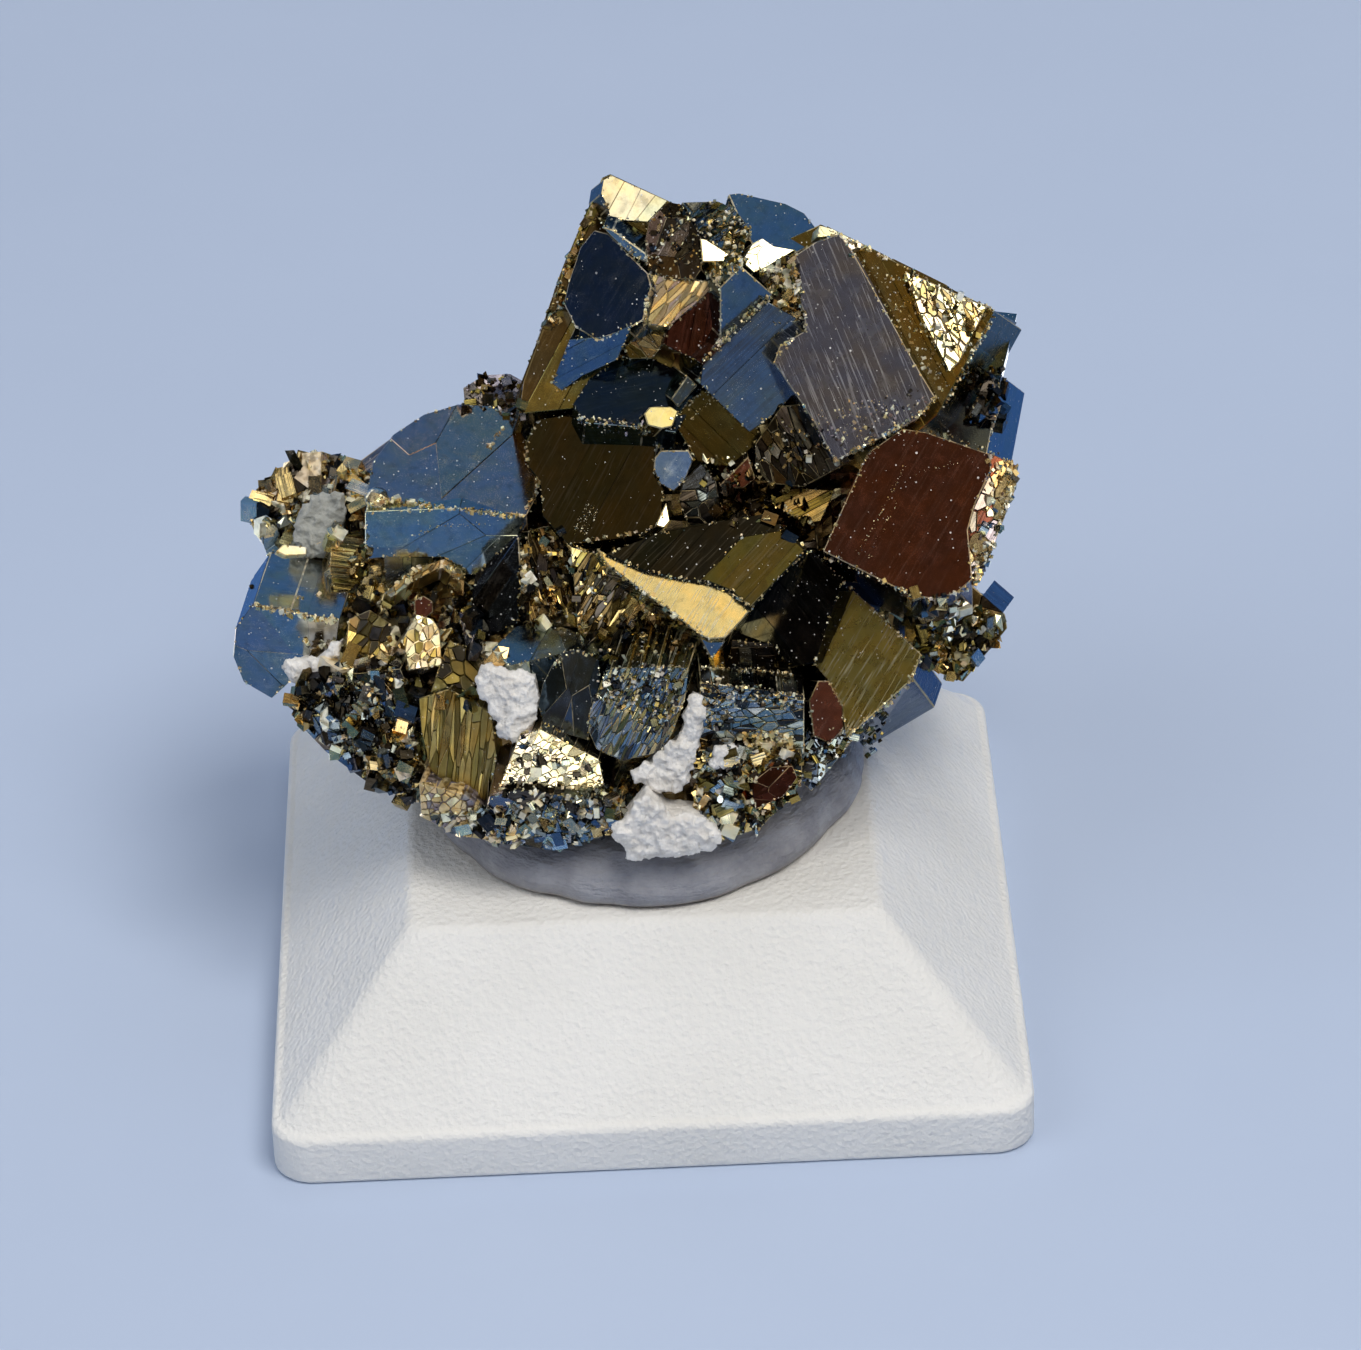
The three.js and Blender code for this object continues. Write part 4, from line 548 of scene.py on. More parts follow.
# Lumps of white quartz: outline on the picture, place, lean and thickness
QUARTZ = {
    "quartz_front": (7.4, (0, -30), 1.8,
                     [(-2.75, -6.7), (-2.1, -6.0), (-1.5, -5.2), (-1.0, -5.6), (-0.6, -6.1),
                      (0.7, -6.2), (1.7, -6.8), (1.2, -7.3), (-0.6, -7.75), (-2.0, -7.7)]),
    "quartz_seam": (7.7, (-4, -20), 1.5,
                    [(-1.9, -4.3), (-1.1, -3.7), (-0.1, -2.9), (0.3, -1.7), (0.5, -0.9),
                     (0.85, -1.1), (0.75, -2.6), (0.4, -3.5), (0.3, -4.4), (-0.3, -4.9),
                     (-1.3, -4.8)]),
    "quartz_middle": (6.8, (-10, -14), 2.8,
                      [(-8.8, -0.3), (-8.3, 0.3), (-7.4, 0.1), (-6.4, -0.2), (-6.25, -1.7),
                       (-6.7, -2.4), (-7.2, -2.7), (-7.7, -2.4), (-8.1, -1.3)]),
    "quartz_left": (3.0, (-12, -16), 2.2,
                    [(-16.7, 0.4), (-15.5, 0.65), (-14.7, 1.3), (-14.9, 0.3), (-15.1, -0.7),
                     (-15.9, -0.8), (-16.5, -0.2)]),
    "quartz_back_left": (-1.2, (-10, 4), 2.4,
                         [(-16.4, 5.9), (-16.3, 6.9), (-15.5, 7.7), (-14.7, 7.7), (-14.5, 6.9),
                          (-15.0, 5.3), (-15.8, 5.1)]),
    "quartz_patch": (7.6, (2, -24), 1.8,
                     [(1.15, -3.75), (1.5, -3.25), (2.3, -3.1), (2.45, -3.5), (1.8, -3.95)]),
}


# Outlines on the picture

def area_of(outline):
    return 0.5 * sum(x0 * y1 - x1 * y0
                     for (x0, y0), (x1, y1) in zip(outline, outline[1:] + outline[:1]))


def counter_clockwise(outline):
    return outline if area_of(outline) > 0 else outline[::-1]


def middle_of(outline):
    """The mean of an outline's corners."""
    return (sum(p[0] for p in outline) / len(outline), sum(p[1] for p in outline) / len(outline))


def random_point(outline, rng):
    """A point in the upright rectangle round an outline."""
    us = [p[0] for p in outline]
    vs = [p[1] for p in outline]
    return rng.uniform(min(us), max(us)), rng.uniform(min(vs), max(vs))


def inside(outline, x, y):
    hit = False
    for (x0, y0), (x1, y1) in zip(outline, outline[1:] + outline[:1]):
        if (y0 > y) != (y1 > y) and x < x0 + (y - y0) * (x1 - x0) / (y1 - y0):
            hit = not hit
    return hit


def clip(outline, point, normal):
    """The part of an outline on the side of a line that its normal points away from."""
    kept = []
    for p, q in zip(outline, outline[1:] + outline[:1]):
        dp = (p[0] - point[0]) * normal[0] + (p[1] - point[1]) * normal[1]
        dq = (q[0] - point[0]) * normal[0] + (q[1] - point[1]) * normal[1]
        if dp <= 0:
            kept.append(p)
        if (dp < 0 < dq) or (dq < 0 < dp):
            t = dp / (dp - dq)
            kept.append((p[0] + t * (q[0] - p[0]), p[1] + t * (q[1] - p[1])))
    return kept


def strips(outline, angle, narrowest, widest, rng):
    """Cuts an outline into bands that run at this angle on the picture."""
    across = (-math.sin(math.radians(angle)), math.cos(math.radians(angle)))
    reach = [x * across[0] + y * across[1] for x, y in outline]
    start = min(reach)
    bands = []
    while start < max(reach):
        end = start + rng.uniform(narrowest, widest)
        low = (across[0] * start, across[1] * start)
        high = (across[0] * end, across[1] * end)
        band = clip(clip(outline, high, across), low, (-across[0], -across[1]))
        if len(band) > 2 and abs(area_of(band)) > 0.01:
            bands.append(band)
        start = end
    return bands


def shards(outline, count, longer, angle, rng):
    """Cuts an outline into fragments round random seeds, longer than wide at this angle."""
    turn = Matrix.Rotation(math.radians(-angle), 2)
    squeeze = Matrix(((1 / longer, 0), (0, 1))) @ turn
    undo = squeeze.inverted()
    flat = [tuple(squeeze @ Vector(p)) for p in outline]
    seeds = []
    while len(seeds) < count:
        seed = random_point(flat, rng)
        if inside(flat, *seed):
            seeds.append(seed)
    cells = []
    for x, y in seeds:
        cell = flat
        for ox, oy in seeds:
            if (ox, oy) != (x, y) and len(cell) > 2:
                cell = clip(cell, ((x + ox) / 2, (y + oy) / 2), (ox - x, oy - y))
        if len(cell) > 2 and abs(area_of(cell)) > 0.004:
            cells.append([tuple(undo @ Vector(p)) for p in cell])
    return cells


def shrunk(outline, gap):
    """An outline drawn in towards its middle by about this much, which leaves a crack round it."""
    x, y = middle_of(outline)
    reach = sum(math.hypot(p[0] - x, p[1] - y) for p in outline) / len(outline)
    keep = max(0.4, 1 - gap / max(reach, 1e-6))
    return [(x + (p[0] - x) * keep, y + (p[1] - y) * keep) for p in outline]


def point_along(line, share):
    """The point at this share of a line's length."""
    lengths = [math.dist(p, q) for p, q in zip(line, line[1:])]
    left = share * sum(lengths)
    for (p, q), length in zip(zip(line, line[1:]), lengths):
        if left <= length:
            t = left / length
            return (p[0] + t * (q[0] - p[0]), p[1] + t * (q[1] - p[1]))
        left -= length
    return line[-1]


# Solid shapes

def face_depth(point, middle, w, lean):
    """How near the viewer a leaning face, with its middle at w, lies at a point."""
    return (w - (point[0] - middle[0]) * math.tan(math.radians(lean[0]))
            - (point[1] - middle[1]) * math.tan(math.radians(lean[1])))


def leaning_face(outline, w, lean, middle=None):
    """The outline on the picture, laid on a plane that leans from the viewer, and its normal."""
    normal = towards(*lean)
    ring = counter_clockwise(list(outline))
    anchor = seen(*(middle or middle_of(ring)), w)
    points = []
    for u, v in ring:
        ray = seen(u, v, 0) - EYE
        points.append(EYE + ray * ((anchor - EYE).dot(normal) / ray.dot(normal)))
    return points, normal


RIM = 1  # marks the narrow faces along a crystal's edges


def wear_edges(bm, width):
    """Bevels every edge, and marks the narrow faces that this makes."""
    worn_and_highlit = bmesh.ops.bevel(bm, geom=bm.edges[:], offset=width, offset_type="OFFSET",
                           segments=1, profile=0.5, affect="EDGES", clamp_overlap=True)
    for face in worn_and_highlit["faces"]:
        face.material_index = RIM


def prism(points, normal, depth, flare=0.0, wear=0.0):
    """A closed block that runs straight back from its front face."""
    bm = bmesh.new()
    middle = sum(points, Vector()) / len(points)
    front = [bm.verts.new(p) for p in points]
    back = [bm.verts.new(middle + (p - middle) * (1 + flare) - normal * depth) for p in points]
    count = len(points)
    bm.faces.new(front)
    bm.faces.new(back[::-1])
    for i in range(count):
        j = (i + 1) % count
        bm.faces.new((front[j], front[i], back[i], back[j]))
    bmesh.ops.dissolve_degenerate(bm, dist=0.004, edges=bm.edges[:])
    if wear:
        wear_edges(bm, wear)
    return bm


def block(size, cut):
    """A box whose corners are cut off."""
    bm = bmesh.new()
    x, y, z = (s / 2 for s in size)
    for sx in (-1, 1):
        for sy in (-1, 1):
            for sz in (-1, 1):
                bm.verts.new((sx * (x - cut), sy * y, sz * z))
                bm.verts.new((sx * x, sy * (y - cut), sz * z))
                bm.verts.new((sx * x, sy * y, sz * (z - cut)))
    bmesh.ops.convex_hull(bm, input=bm.verts[:])
    bmesh.ops.dissolve_limit(bm, angle_limit=0.01, verts=bm.verts[:], edges=bm.edges[:])
    return bm


def fused(bm, voxel):
    """The closed blocks of a bmesh, melted into one skin of small faces this wide."""
    mesh = bpy.data.meshes.new("lump")
    bm.to_mesh(mesh)
    bm.free()
    lump = bpy.data.objects.new("lump", mesh)
    bpy.context.scene.collection.objects.link(lump)
    remesh = lump.modifiers.new("fuse", "REMESH")
    remesh.mode = "VOXEL"
    remesh.voxel_size = voxel
    graph = bpy.context.evaluated_depsgraph_get()
    skin = bpy.data.meshes.new_from_object(lump.evaluated_get(graph))
    bpy.data.objects.remove(lump)
    return skin


class Piece:
    """Gathers closed blocks and makes them one object, with colour, finish and a grain map."""

    def __init__(self):
        self.verts = []
        self.faces = []
        self.tints = []
        self.finishes = []
        self.slots = []
        self.maps = []

    def add(self, corners, faces, tint, finish, grain, slot):
        base = len(self.verts)
        self.verts.extend(corners)
        for face in faces:
            a, b, c = (corners[face[i]] for i in (0, 1, 2))
            normal = (b - a).cross(c - a)
            along = grain - normal * (grain.dot(normal) / max(normal.length_squared, 1e-12))
            if along.length < 0.2:
                along = normal.cross(Vector((0.3, 0.5, 0.8)))
            along.normalize()
            across = normal.cross(along).normalized()
            self.faces.append([base + i for i in face])
            self.tints.append(tint)
            self.finishes.append(finish)
            self.slots.append(slot)
            self.maps.append([(corners[i].dot(along), corners[i].dot(across)) for i in face])

    def add_bmesh(self, bm, tint, finish, grain, slot):
        bm.verts.index_update()
        corners = [v.co.copy() for v in bm.verts]
        faces = [[v.index for v in f.verts] for f in bm.faces]
        rims = [i for i, f in enumerate(bm.faces) if f.material_index == RIM]
        first = len(self.faces)
        self.add(corners, faces, tint, finish, grain, slot)
        # Rims take a lighter tint towards TAN: the fresh metal of worn edges, with painted
        # highlight along them.
        worn_and_highlit = tuple(0.45 * c + 0.55 * bare for c, bare in zip(tint, TAN))
        for i in rims:
            self.tints[first + i] = worn_and_highlit
            self.finishes[first + i] = WORN_AND_HIGHLIT_FINISH
        bm.free()

    def tree(self):
        return BVHTree.FromPolygons([tuple(v) for v in self.verts], self.faces)

    def build(self, name, materials, slot_name, nodes):
        mesh = bpy.data.meshes.new(name)
        mesh.from_pydata([tuple(v * MM) for v in self.verts], [], self.faces)
        for material in materials:
            mesh.materials.append(material)
        mesh.polygons.foreach_set("material_index", self.slots)
        uv = mesh.uv_layers.new(name="grain")
        uv.data.foreach_set("uv", [x for face in self.maps for pair in face for x in pair])
        tint = mesh.color_attributes.new("tint", "FLOAT_COLOR", "CORNER")
        colours = []
        for face, colour in zip(self.faces, self.tints):
            colours.extend((*colour, 1.0) * len(face))
        tint.data.foreach_set("color", colours)
        finish = mesh.attributes.new("finish", "FLOAT", "FACE")
        finish.data.foreach_set("value", self.finishes)
        place(name, mesh, nodes)


def place(name, mesh, nodes):
    obj = bpy.data.objects.new(name, mesh)
    bpy.context.scene.collection.objects.link(obj)
    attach(obj, "root")
    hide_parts(*nodes)


def varied(colour, rng, amount=0.12):
    scale = 1 + rng.uniform(-amount, amount)
    return tuple(min(1.0, c * scale * (1 + rng.uniform(-0.05, 0.05))) for c in colour)


# Materials

class Nodes:
    """A short way to write a node tree."""

    def __init__(self, tree):
        self.tree = tree
        tree.nodes.clear()

    def add(self, kind, inputs=None, **settings):
        node = self.tree.nodes.new(kind)
        for key, value in settings.items():
            setattr(node, key, value)
        for key, value in (inputs or {}).items():
            self.feed(node.inputs[key], value)
        return node

    def feed(self, socket, value):
        if isinstance(value, bpy.types.NodeSocket):
            self.tree.links.new(value, socket)
        else:
            socket.default_value = value

    def math(self, operation, a, b, clamp=False):
        return self.add("ShaderNodeMath", {0: a, 1: b}, operation=operation,
                        use_clamp=clamp).outputs[0]

    def mix(self, factor, a, b, blend="MIX"):
        node = self.add("ShaderNodeMix", {0: factor}, data_type="RGBA", blend_type=blend)
        self.feed(node.inputs[6], a)
        self.feed(node.inputs[7], b)
        return node.outputs[2]

    def ramp(self, value, low, high, out_low=0.0, out_high=1.0):
        return self.add("ShaderNodeMapRange", {"Value": value, "From Min": low, "From Max": high,
                                               "To Min": out_low, "To Max": out_high},
                        interpolation_type="SMOOTHSTEP").outputs[0]

    def noise(self, vector, scale, detail=3.0, roughness=0.5):
        return self.add("ShaderNodeTexNoise", {"Vector": vector, "Scale": scale,
                                               "Detail": detail,
                                               "Roughness": roughness}).outputs[0]

    def cells(self, vector, scale):
        return self.add("ShaderNodeTexVoronoi", {"Vector": vector, "Scale": scale}).outputs

    def stretched(self, vector, scale, turn=0.0):
        return self.add("ShaderNodeMapping", {"Vector": vector, "Scale": scale,
                                              "Rotation": (0, 0, math.radians(turn))}).outputs[0]

    def bump(self, height, strength, distance):
        return self.add("ShaderNodeBump", {"Height": height, "Strength": strength,
                                           "Distance": distance}).outputs[0]

    def surface(self, inputs):
        shader = self.add("ShaderNodeBsdfPrincipled", inputs)
        self.add("ShaderNodeOutputMaterial", {"Surface": shader.outputs[0]})


def new_material(name):
    """A material, its node tree, and the place on the object in millimetres."""
    material = bpy.data.materials.new(name)
    material.use_nodes = True
    n = Nodes(material.node_tree)
    coords = n.add("ShaderNodeTexCoord").outputs["Object"]
    place_mm = n.add("ShaderNodeVectorMath", {0: coords, 3: 1000.0}, operation="SCALE").outputs[0]
    return material, n, place_mm


def pyrite_material(name, scratches, ribs, waviness, dust):
    """Metal whose colour and roughness come from the piece, with growth lines, scratches, dust."""
    material, n, place_mm = new_material(name)
    grain = n.add("ShaderNodeUVMap", uv_map="grain").outputs[0]
    tint = n.add("ShaderNodeAttribute", attribute_name="tint").outputs["Color"]
    finish = n.add("ShaderNodeAttribute", attribute_name="finish").outputs["Fac"]

    patches = n.noise(place_mm, 0.7, 2.0, 0.6)
    warmer = n.mix(1.0, tint, (1.25, 1.08, 0.80, 1), "MULTIPLY")
    colour = n.mix(n.ramp(patches, 0.35, 0.7), tint, warmer)
    darker = n.mix(1.0, colour, (0.62, 0.60, 0.58, 1), "MULTIPLY")
    colour = n.mix(n.ramp(n.noise(place_mm, 2.6, 3.0, 0.7), 0.45, 0.75, 0.0, 0.55), colour, darker)

    # Specks of dust, in two sizes
    specks = 0.0
    for scale, reach in ((2.4, 0.13), (5.0, 0.16)):
        dots = n.cells(place_mm, scale)
        chance = n.add("ShaderNodeSeparateColor", {"Color": dots["Color"]}).outputs[0]
        size = n.math("MULTIPLY", n.math("SUBTRACT", chance, 0.45, clamp=True), reach * 1.8)
        dot = n.math("LESS_THAN", dots["Distance"], size)
        specks = n.math("ADD", specks, dot, clamp=True)
    where = n.ramp(n.noise(place_mm, 0.45, 2.0), 0.30, 0.62, 0.25, 1.0)
    specks = n.math("MULTIPLY", specks, n.math("MULTIPLY", where, dust), clamp=True)
    colour = n.mix(specks, colour, (0.80, 0.77, 0.72, 1))

    # Scratches along the grain and across it, and growth lines
    lines_a = n.noise(n.stretched(grain, (0.30, 9.0, 1.0), 8), 1.0, 2.0, 0.6)
    lines_b = n.noise(n.stretched(grain, (0.60, 15.0, 1.0), -34), 1.0, 1.0, 0.5)
    scratch = n.math("ADD", n.ramp(lines_a, 0.58, 0.66), n.ramp(lines_b, 0.62, 0.70), clamp=True)
    scratch = n.math("MULTIPLY", scratch, scratches)
    bare = n.math("MULTIPLY", scratch, 0.35, clamp=True)
    colour = n.mix(bare, colour, (0.62, 0.60, 0.60, 1))
    growth = n.noise(n.stretched(grain, (0.05, 2.4, 1.0)), 1.0, 3.0, 0.65)

    rough = n.math("ADD", finish, n.math("MULTIPLY", scratch, 0.25))
    rough = n.math("ADD", rough, n.math("MULTIPLY", specks, 0.5))
    rough = n.math("ADD", rough, n.ramp(n.noise(place_mm, 1.6, 2.0, 0.65), 0.4, 0.8, 0.0, 0.12),
                   clamp=True)

    # Faces whose finish marks them, worn edges and cream bits, mirror less and show their light
    # tint under any light: wear with painted highlight
    worn_and_highlit = n.ramp(finish, 0.36, 0.38, 0.0, 0.6)
    worn_and_highlit = n.math("MULTIPLY", worn_and_highlit, n.ramp(n.noise(place_mm, 3.5, 1.0), 0.42, 0.56, 0.1, 1.0))
    dull = n.math("ADD", n.math("ADD", worn_and_highlit, specks), n.math("MULTIPLY", bare, 0.8), clamp=True)

    height = n.math("MULTIPLY", growth, ribs)
    height = n.math("ADD", height, n.math("MULTIPLY", n.noise(place_mm, 0.8, 1.0), waviness))
    # The metal's edge tint is bluish: painted reflection of the blue surroundings on faces seen at
    # a slant.
    n.surface({"Base Color": colour, "Roughness": rough, "Normal": n.bump(height, 1.0, 0.00002),
               "Metallic": n.math("SUBTRACT", 1.0, dull, clamp=True),
               "Specular Tint": (0.45, 0.50, 0.60, 1)})
    return material


def quartz_material(name, light, shade):
    material, n, place_mm = new_material(name)
    colour = n.mix(n.ramp(n.noise(place_mm, 1.4, 4.0, 0.6), 0.4, 0.7), light, shade)
    stain = n.ramp(n.noise(place_mm, 3.2, 4.0, 0.7), 0.60, 0.72)
    colour = n.mix(n.math("MULTIPLY", stain, 0.6), colour, (0.45, 0.42, 0.36, 1))
    cells = n.cells(place_mm, 5.0)[0]
    height = n.math("ADD", cells, n.math("MULTIPLY", n.noise(place_mm, 9.0, 4.0, 0.7), 0.8))
    n.surface({"Base Color": colour, "Normal": n.bump(height, 0.9, 0.00008),
               "Roughness": n.ramp(cells, 0.1, 0.6, 0.28, 0.6),
               "Subsurface Weight": 0.25, "Subsurface Scale": 0.0006,
               "Subsurface Radius": (1.0, 0.95, 0.9)})
    return material


def putty_material():
    material, n, place_mm = new_material("putty_grey")
    colour = n.mix(n.ramp(n.noise(place_mm, 0.5, 4.0, 0.6), 0.35, 0.7),
                   (0.34, 0.34, 0.365, 1), (0.225, 0.225, 0.25, 1))
    fleck = n.ramp(n.noise(place_mm, 6.0, 3.0, 0.6), 0.64, 0.70)
    colour = n.mix(n.math("MULTIPLY", fleck, 0.45), colour, (0.28, 0.26, 0.24, 1))
    # The pad's lowest half millimetre turns darker brown: painted reflection along its foot.
    low = n.add("ShaderNodeSeparateXYZ", {"Vector": place_mm}).outputs[2]
    edge = n.ramp(low, STAND_HEIGHT + 0.05, STAND_HEIGHT + 0.45, 0.75, 0.0)
    colour = n.mix(edge, colour, (0.30, 0.25, 0.20, 1))
    folds = n.noise(n.stretched(place_mm, (0.5, 0.5, 1.6)), 1.0, 5.0, 0.6)
    height = n.math("ADD", folds, n.math("MULTIPLY", n.noise(place_mm, 6.0), 0.12))
    n.surface({"Base Color": colour, "Normal": n.bump(height, 0.9, 0.0005),
               "Roughness": n.ramp(n.noise(place_mm, 2.0), 0.3, 0.7, 0.42, 0.62),
               "Specular IOR Level": 0.45})
    return material


def stand_material():
    material, n, place_mm = new_material("stand_cream_plastic")
    colour = n.mix(n.ramp(n.noise(place_mm, 0.12, 4.0, 0.55), 0.35, 0.7),
                   (0.89, 0.868, 0.822, 1), (0.845, 0.823, 0.773, 1))
    mark = n.ramp(n.noise(place_mm, 1.1, 5.0, 0.75), 0.70, 0.78)
    colour = n.mix(n.math("MULTIPLY", mark, 0.35), colour, (0.50, 0.47, 0.42, 1))
    grit = n.cells(place_mm, 3.4)[0]
    height = n.math("ADD", n.math("MULTIPLY", grit, 0.5), n.noise(place_mm, 4.0, 4.0, 0.65))
    n.surface({"Base Color": colour, "Normal": n.bump(height, 0.9, 0.00011),
               "Roughness": n.ramp(n.noise(place_mm, 1.2, 4.0), 0.3, 0.7, 0.36, 0.52),
               "Specular IOR Level": 0.5})
    return material


PYRITES = [
    pyrite_material("pyrite_mirror", scratches=0.12, ribs=0.30, waviness=0.5, dust=0.9),
    pyrite_material("pyrite_ribbed", scratches=0.15, ribs=1.8, waviness=0.8, dust=0.5),
    pyrite_material("pyrite_scratched", scratches=0.9, ribs=0.25, waviness=0.5, dust=1.0),
    pyrite_material("pyrite_rough", scratches=0.1, ribs=0.8, waviness=2.4, dust=0.5),
]
MIRROR, RIBBED, SCRATCHED, ROUGH = range(len(PYRITES))


# The specimen

SCRATCHED_CRYSTALS = {"grey_slab", "olive_slab", "tan_plate"}

# The pieces that the front's crystals are gathered in
GROUPS = {
    "pyrite_crown": ["crown_strip", "blue_sliver", "blue_cube_top", "blue_notch", "crown",
                     "crown_facet", "crown_shelf", "navy_pentagon", "blue_bevel", "blue_wedge",
                     "dark_ledge", "dark_tooth", "striped_top", "blue_crown", "bright_left",
                     "bright_right", "beige_face", "red_brown_face", "striped_gold", "pit_wall"],
    "pyrite_right": ["grey_slab", "gold_wall", "gold_swirl", "right_step", "right_pit",
                     "brown_slab", "brown_slab_edge", "back_right_block", "dark_block",
                     "gold_slot"],
    "pyrite_centre": ["blue_cube", "olive_cube", "cream_facet", "olive_slot", "blue_button",
                      "brown_plate", "white_flash", "dark_facet", "copper_facet", "dark_gully",
                      "tan_plate", "dark_plate", "olive_plate", "dark_cube", "olive_slab",
                      "rust_facet", "olive_foot", "split_rib", "ribbed_bank"],
    "pyrite_left": ["left_ribs", "left_knob", "left_saddle", "left_splinter", "left_flash",
                    "left_keel", "left_gold_bar", "left_cube", "left_cube_front", "left_block",
                    "left_ladder", "left_shelf", "navy_wedge", "blue_cap", "bright_lump",
                    "red_facet", "left_rubble", "back_left_crust", "back_left_block",
                    "back_peak"],
    "pyrite_foot": ["blue_oval", "gold_barrel", "ribbed_block", "ribbed_step", "ribbed_top",
                    "olive_pane", "frosted_bank", "blue_foot", "pale_foot", "gritty_foot",
                    "rust_foot"],
}

# Crystals that lie so far back or so deep in the growth that their edges carry no bright chips
SMOOTH_EDGED = {"crown", "gold_wall", "left_rubble", "left_keel", "back_left_crust",
                "back_left_block", "back_peak", "back_right_block", "gritty_foot", "dark_gully",
                "white_flash", "bright_left", "bright_right", "cream_facet", "brown_slab_edge"}

# Crystals that the small growth around them leaves bare
SWEPT = ["rust_foot", "red_facet", "bright_lump", "left_knob", "left_saddle", "left_gold_bar",
         "left_flash"]

# Broken bright edges: lines on the picture, how many chips to a millimetre, and their size
SEAMS = [
    ([(-13.3, 7.3), (-12.2, 7.5), (-11.0, 7.25), (-9.3, 7.05), (-8.0, 6.9), (-6.7, 6.75)],
     14, 0.16),
    ([(-6.7, 6.8), (-6.3, 7.6), (-6.0, 8.3)], 9, 0.13),
    ([(-12.6, 3.6), (-11.9, 4.1), (-11.2, 4.6), (-10.4, 4.95), (-9.4, 4.3)], 12, 0.18),
    ([(-8.2, 9.7), (-7.6, 10.6)], 10, 0.12),
    ([(-18.3, 3.0), (-16.9, 2.75), (-15.8, 2.45), (-14.6, 2.25)], 16, 0.17),
    ([(-16.4, 3.3), (-15.7, 3.35), (-14.8, 3.9)], 7, 0.12),
    ([(-16.3, 1.6), (-15.6, 1.2), (-14.8, 1.4), (-14.4, 2.0)], 12, 0.16),
    ([(-18.7, 4.3), (-18.1, 5.0), (-17.4, 5.3)], 9, 0.14),
    ([(0.9, 13.35), (2.2, 14.7), (3.0, 15.5), (3.8, 16.2)], 22, 0.11),
    ([(-3.3, 19.3), (-2.6, 18.8), (-1.4, 17.4), (-1.1, 16.9)], 12, 0.10),
    ([(-1.3, 17.2), (-0.4, 16.95), (1.7, 16.8)], 16, 0.09),
    ([(-1.5, 14.8), (-1.5, 15.8), (-1.2, 16.6)], 12, 0.12),
    ([(-6.6, 13.2), (-5.9, 15.0), (-5.1, 17.0), (-4.3, 18.6), (-3.7, 20.2)], 9, 0.13),
    ([(4.2, 13.6), (4.6, 14.3), (5.3, 14.8), (5.3, 15.5), (4.9, 16.4), (4.9, 17.6)], 14, 0.11),
    ([(6.6, 9.1), (8.4, 10.1), (10.6, 11.4), (10.9, 11.9)], 16, 0.13),
    ([(5.8, 18.6), (6.8, 18.9), (7.8, 17.4), (9.2, 15.0), (10.1, 13.0)], 6, 0.09),
    ([(6.0, 19.2), (7.6, 18.4), (9.6, 17.5), (11.6, 16.6), (13.4, 15.6)], 14, 0.12),
    ([(11.2, 11.4), (12.1, 13.0), (13.4, 15.4)], 12, 0.13),
    ([(6.1, 5.2), (7.0, 7.4), (8.1, 9.6)], 7, 0.09),
    ([(8.1, 9.7), (9.4, 10.5), (11.5, 10.3), (13.2, 9.6), (14.3, 9.0)], 9, 0.10),
    ([(14.3, 8.8), (13.9, 7.2), (13.4, 5.8), (12.6, 4.0)], 18, 0.17),
    ([(6.1, 5.1), (8.0, 4.3), (9.6, 3.6), (11.0, 3.3), (12.3, 3.7)], 9, 0.10),
    ([(-3.6, 5.4), (-3.1, 4.7), (-1.4, 3.5), (0.8, 1.8)], 12, 0.10),
    ([(7.0, 4.0), (8.6, 2.5), (10.3, 0.9)], 10, 0.09),
    ([(10.2, 0.6), (9.6, -0.6), (8.2, -1.8), (7.0, -2.6)], 10, 0.11),
    ([(-6.5, 8.9), (-6.6, 10.1), (-6.0, 11.0)], 7, 0.10),
    ([(-4.4, 11.0), (-3.0, 10.9), (-1.6, 10.6)], 12, 0.11),
    ([(-5.6, 5.6), (-3.6, 5.8), (-1.2, 6.2)], 7, 0.10),
    ([(-6.8, 5.4), (-6.7, 4.2), (-6.8, 2.6)], 18, 0.17),
    ([(0.9, 0.3), (2.6, 0.2), (4.8, 0.05)], 16, 0.08),
    ([(-5.4, 0.2), (-4.8, 1.0), (-3.6, 0.9)], 8, 0.09),
    ([(4.2, 7.4), (5.0, 6.8), (5.8, 6.4)], 12, 0.11),
    ([(-0.4, 10.9), (0.9, 12.2)], 10, 0.08),
    ([(2.0, 20.5), (2.3, 19.6), (3.0, 18.9)], 9, 0.10),
    ([(-4.6, 6.1), (-3.9, 7.4)], 26, 0.04), ([(-4.35, 6.1), (-3.7, 7.3)], 26, 0.04),
    ([(-4.1, 6.0), (-3.6, 7.0)], 24, 0.04), ([(7.6, 5.2), (8.6, 7.0), (9.6, 8.9)], 16, 0.035),
    ([(8.0, 5.0), (9.3, 7.5)], 12, 0.03), ([(10.0, 8.6), (12.6, 9.3)], 10, 0.03),
    ([(0.4, 10.9), (1.3, 11.8)], 20, 0.045),
    ([(-11.6, 5.9), (-10.4, 6.4), (-8.0, 6.5)], 10, 0.05),
]

def slot_for(name, broken):
    if name in SCRATCHED_CRYSTALS:
        return SCRATCHED
    if broken and broken[0] == "strips" and broken[3] < 0.7:
        return RIBBED
    if broken and broken[0] == "shards" and broken[3] > 4:
        return ROUGH
    return MIRROR


def grain_direction(angle, normal):
    along = RIGHT * math.cos(math.radians(angle)) + UP * math.sin(math.radians(angle))
    return (along - normal * along.dot(normal)).normalized()


def pick(tint, rng):
    """One colour: a list of colours gives one of them."""
    return rng.choice(tint) if isinstance(tint[0], tuple) else tint


def random_turn(rng):
    return Euler([rng.uniform(0, math.tau) for _ in range(3)]).to_matrix()


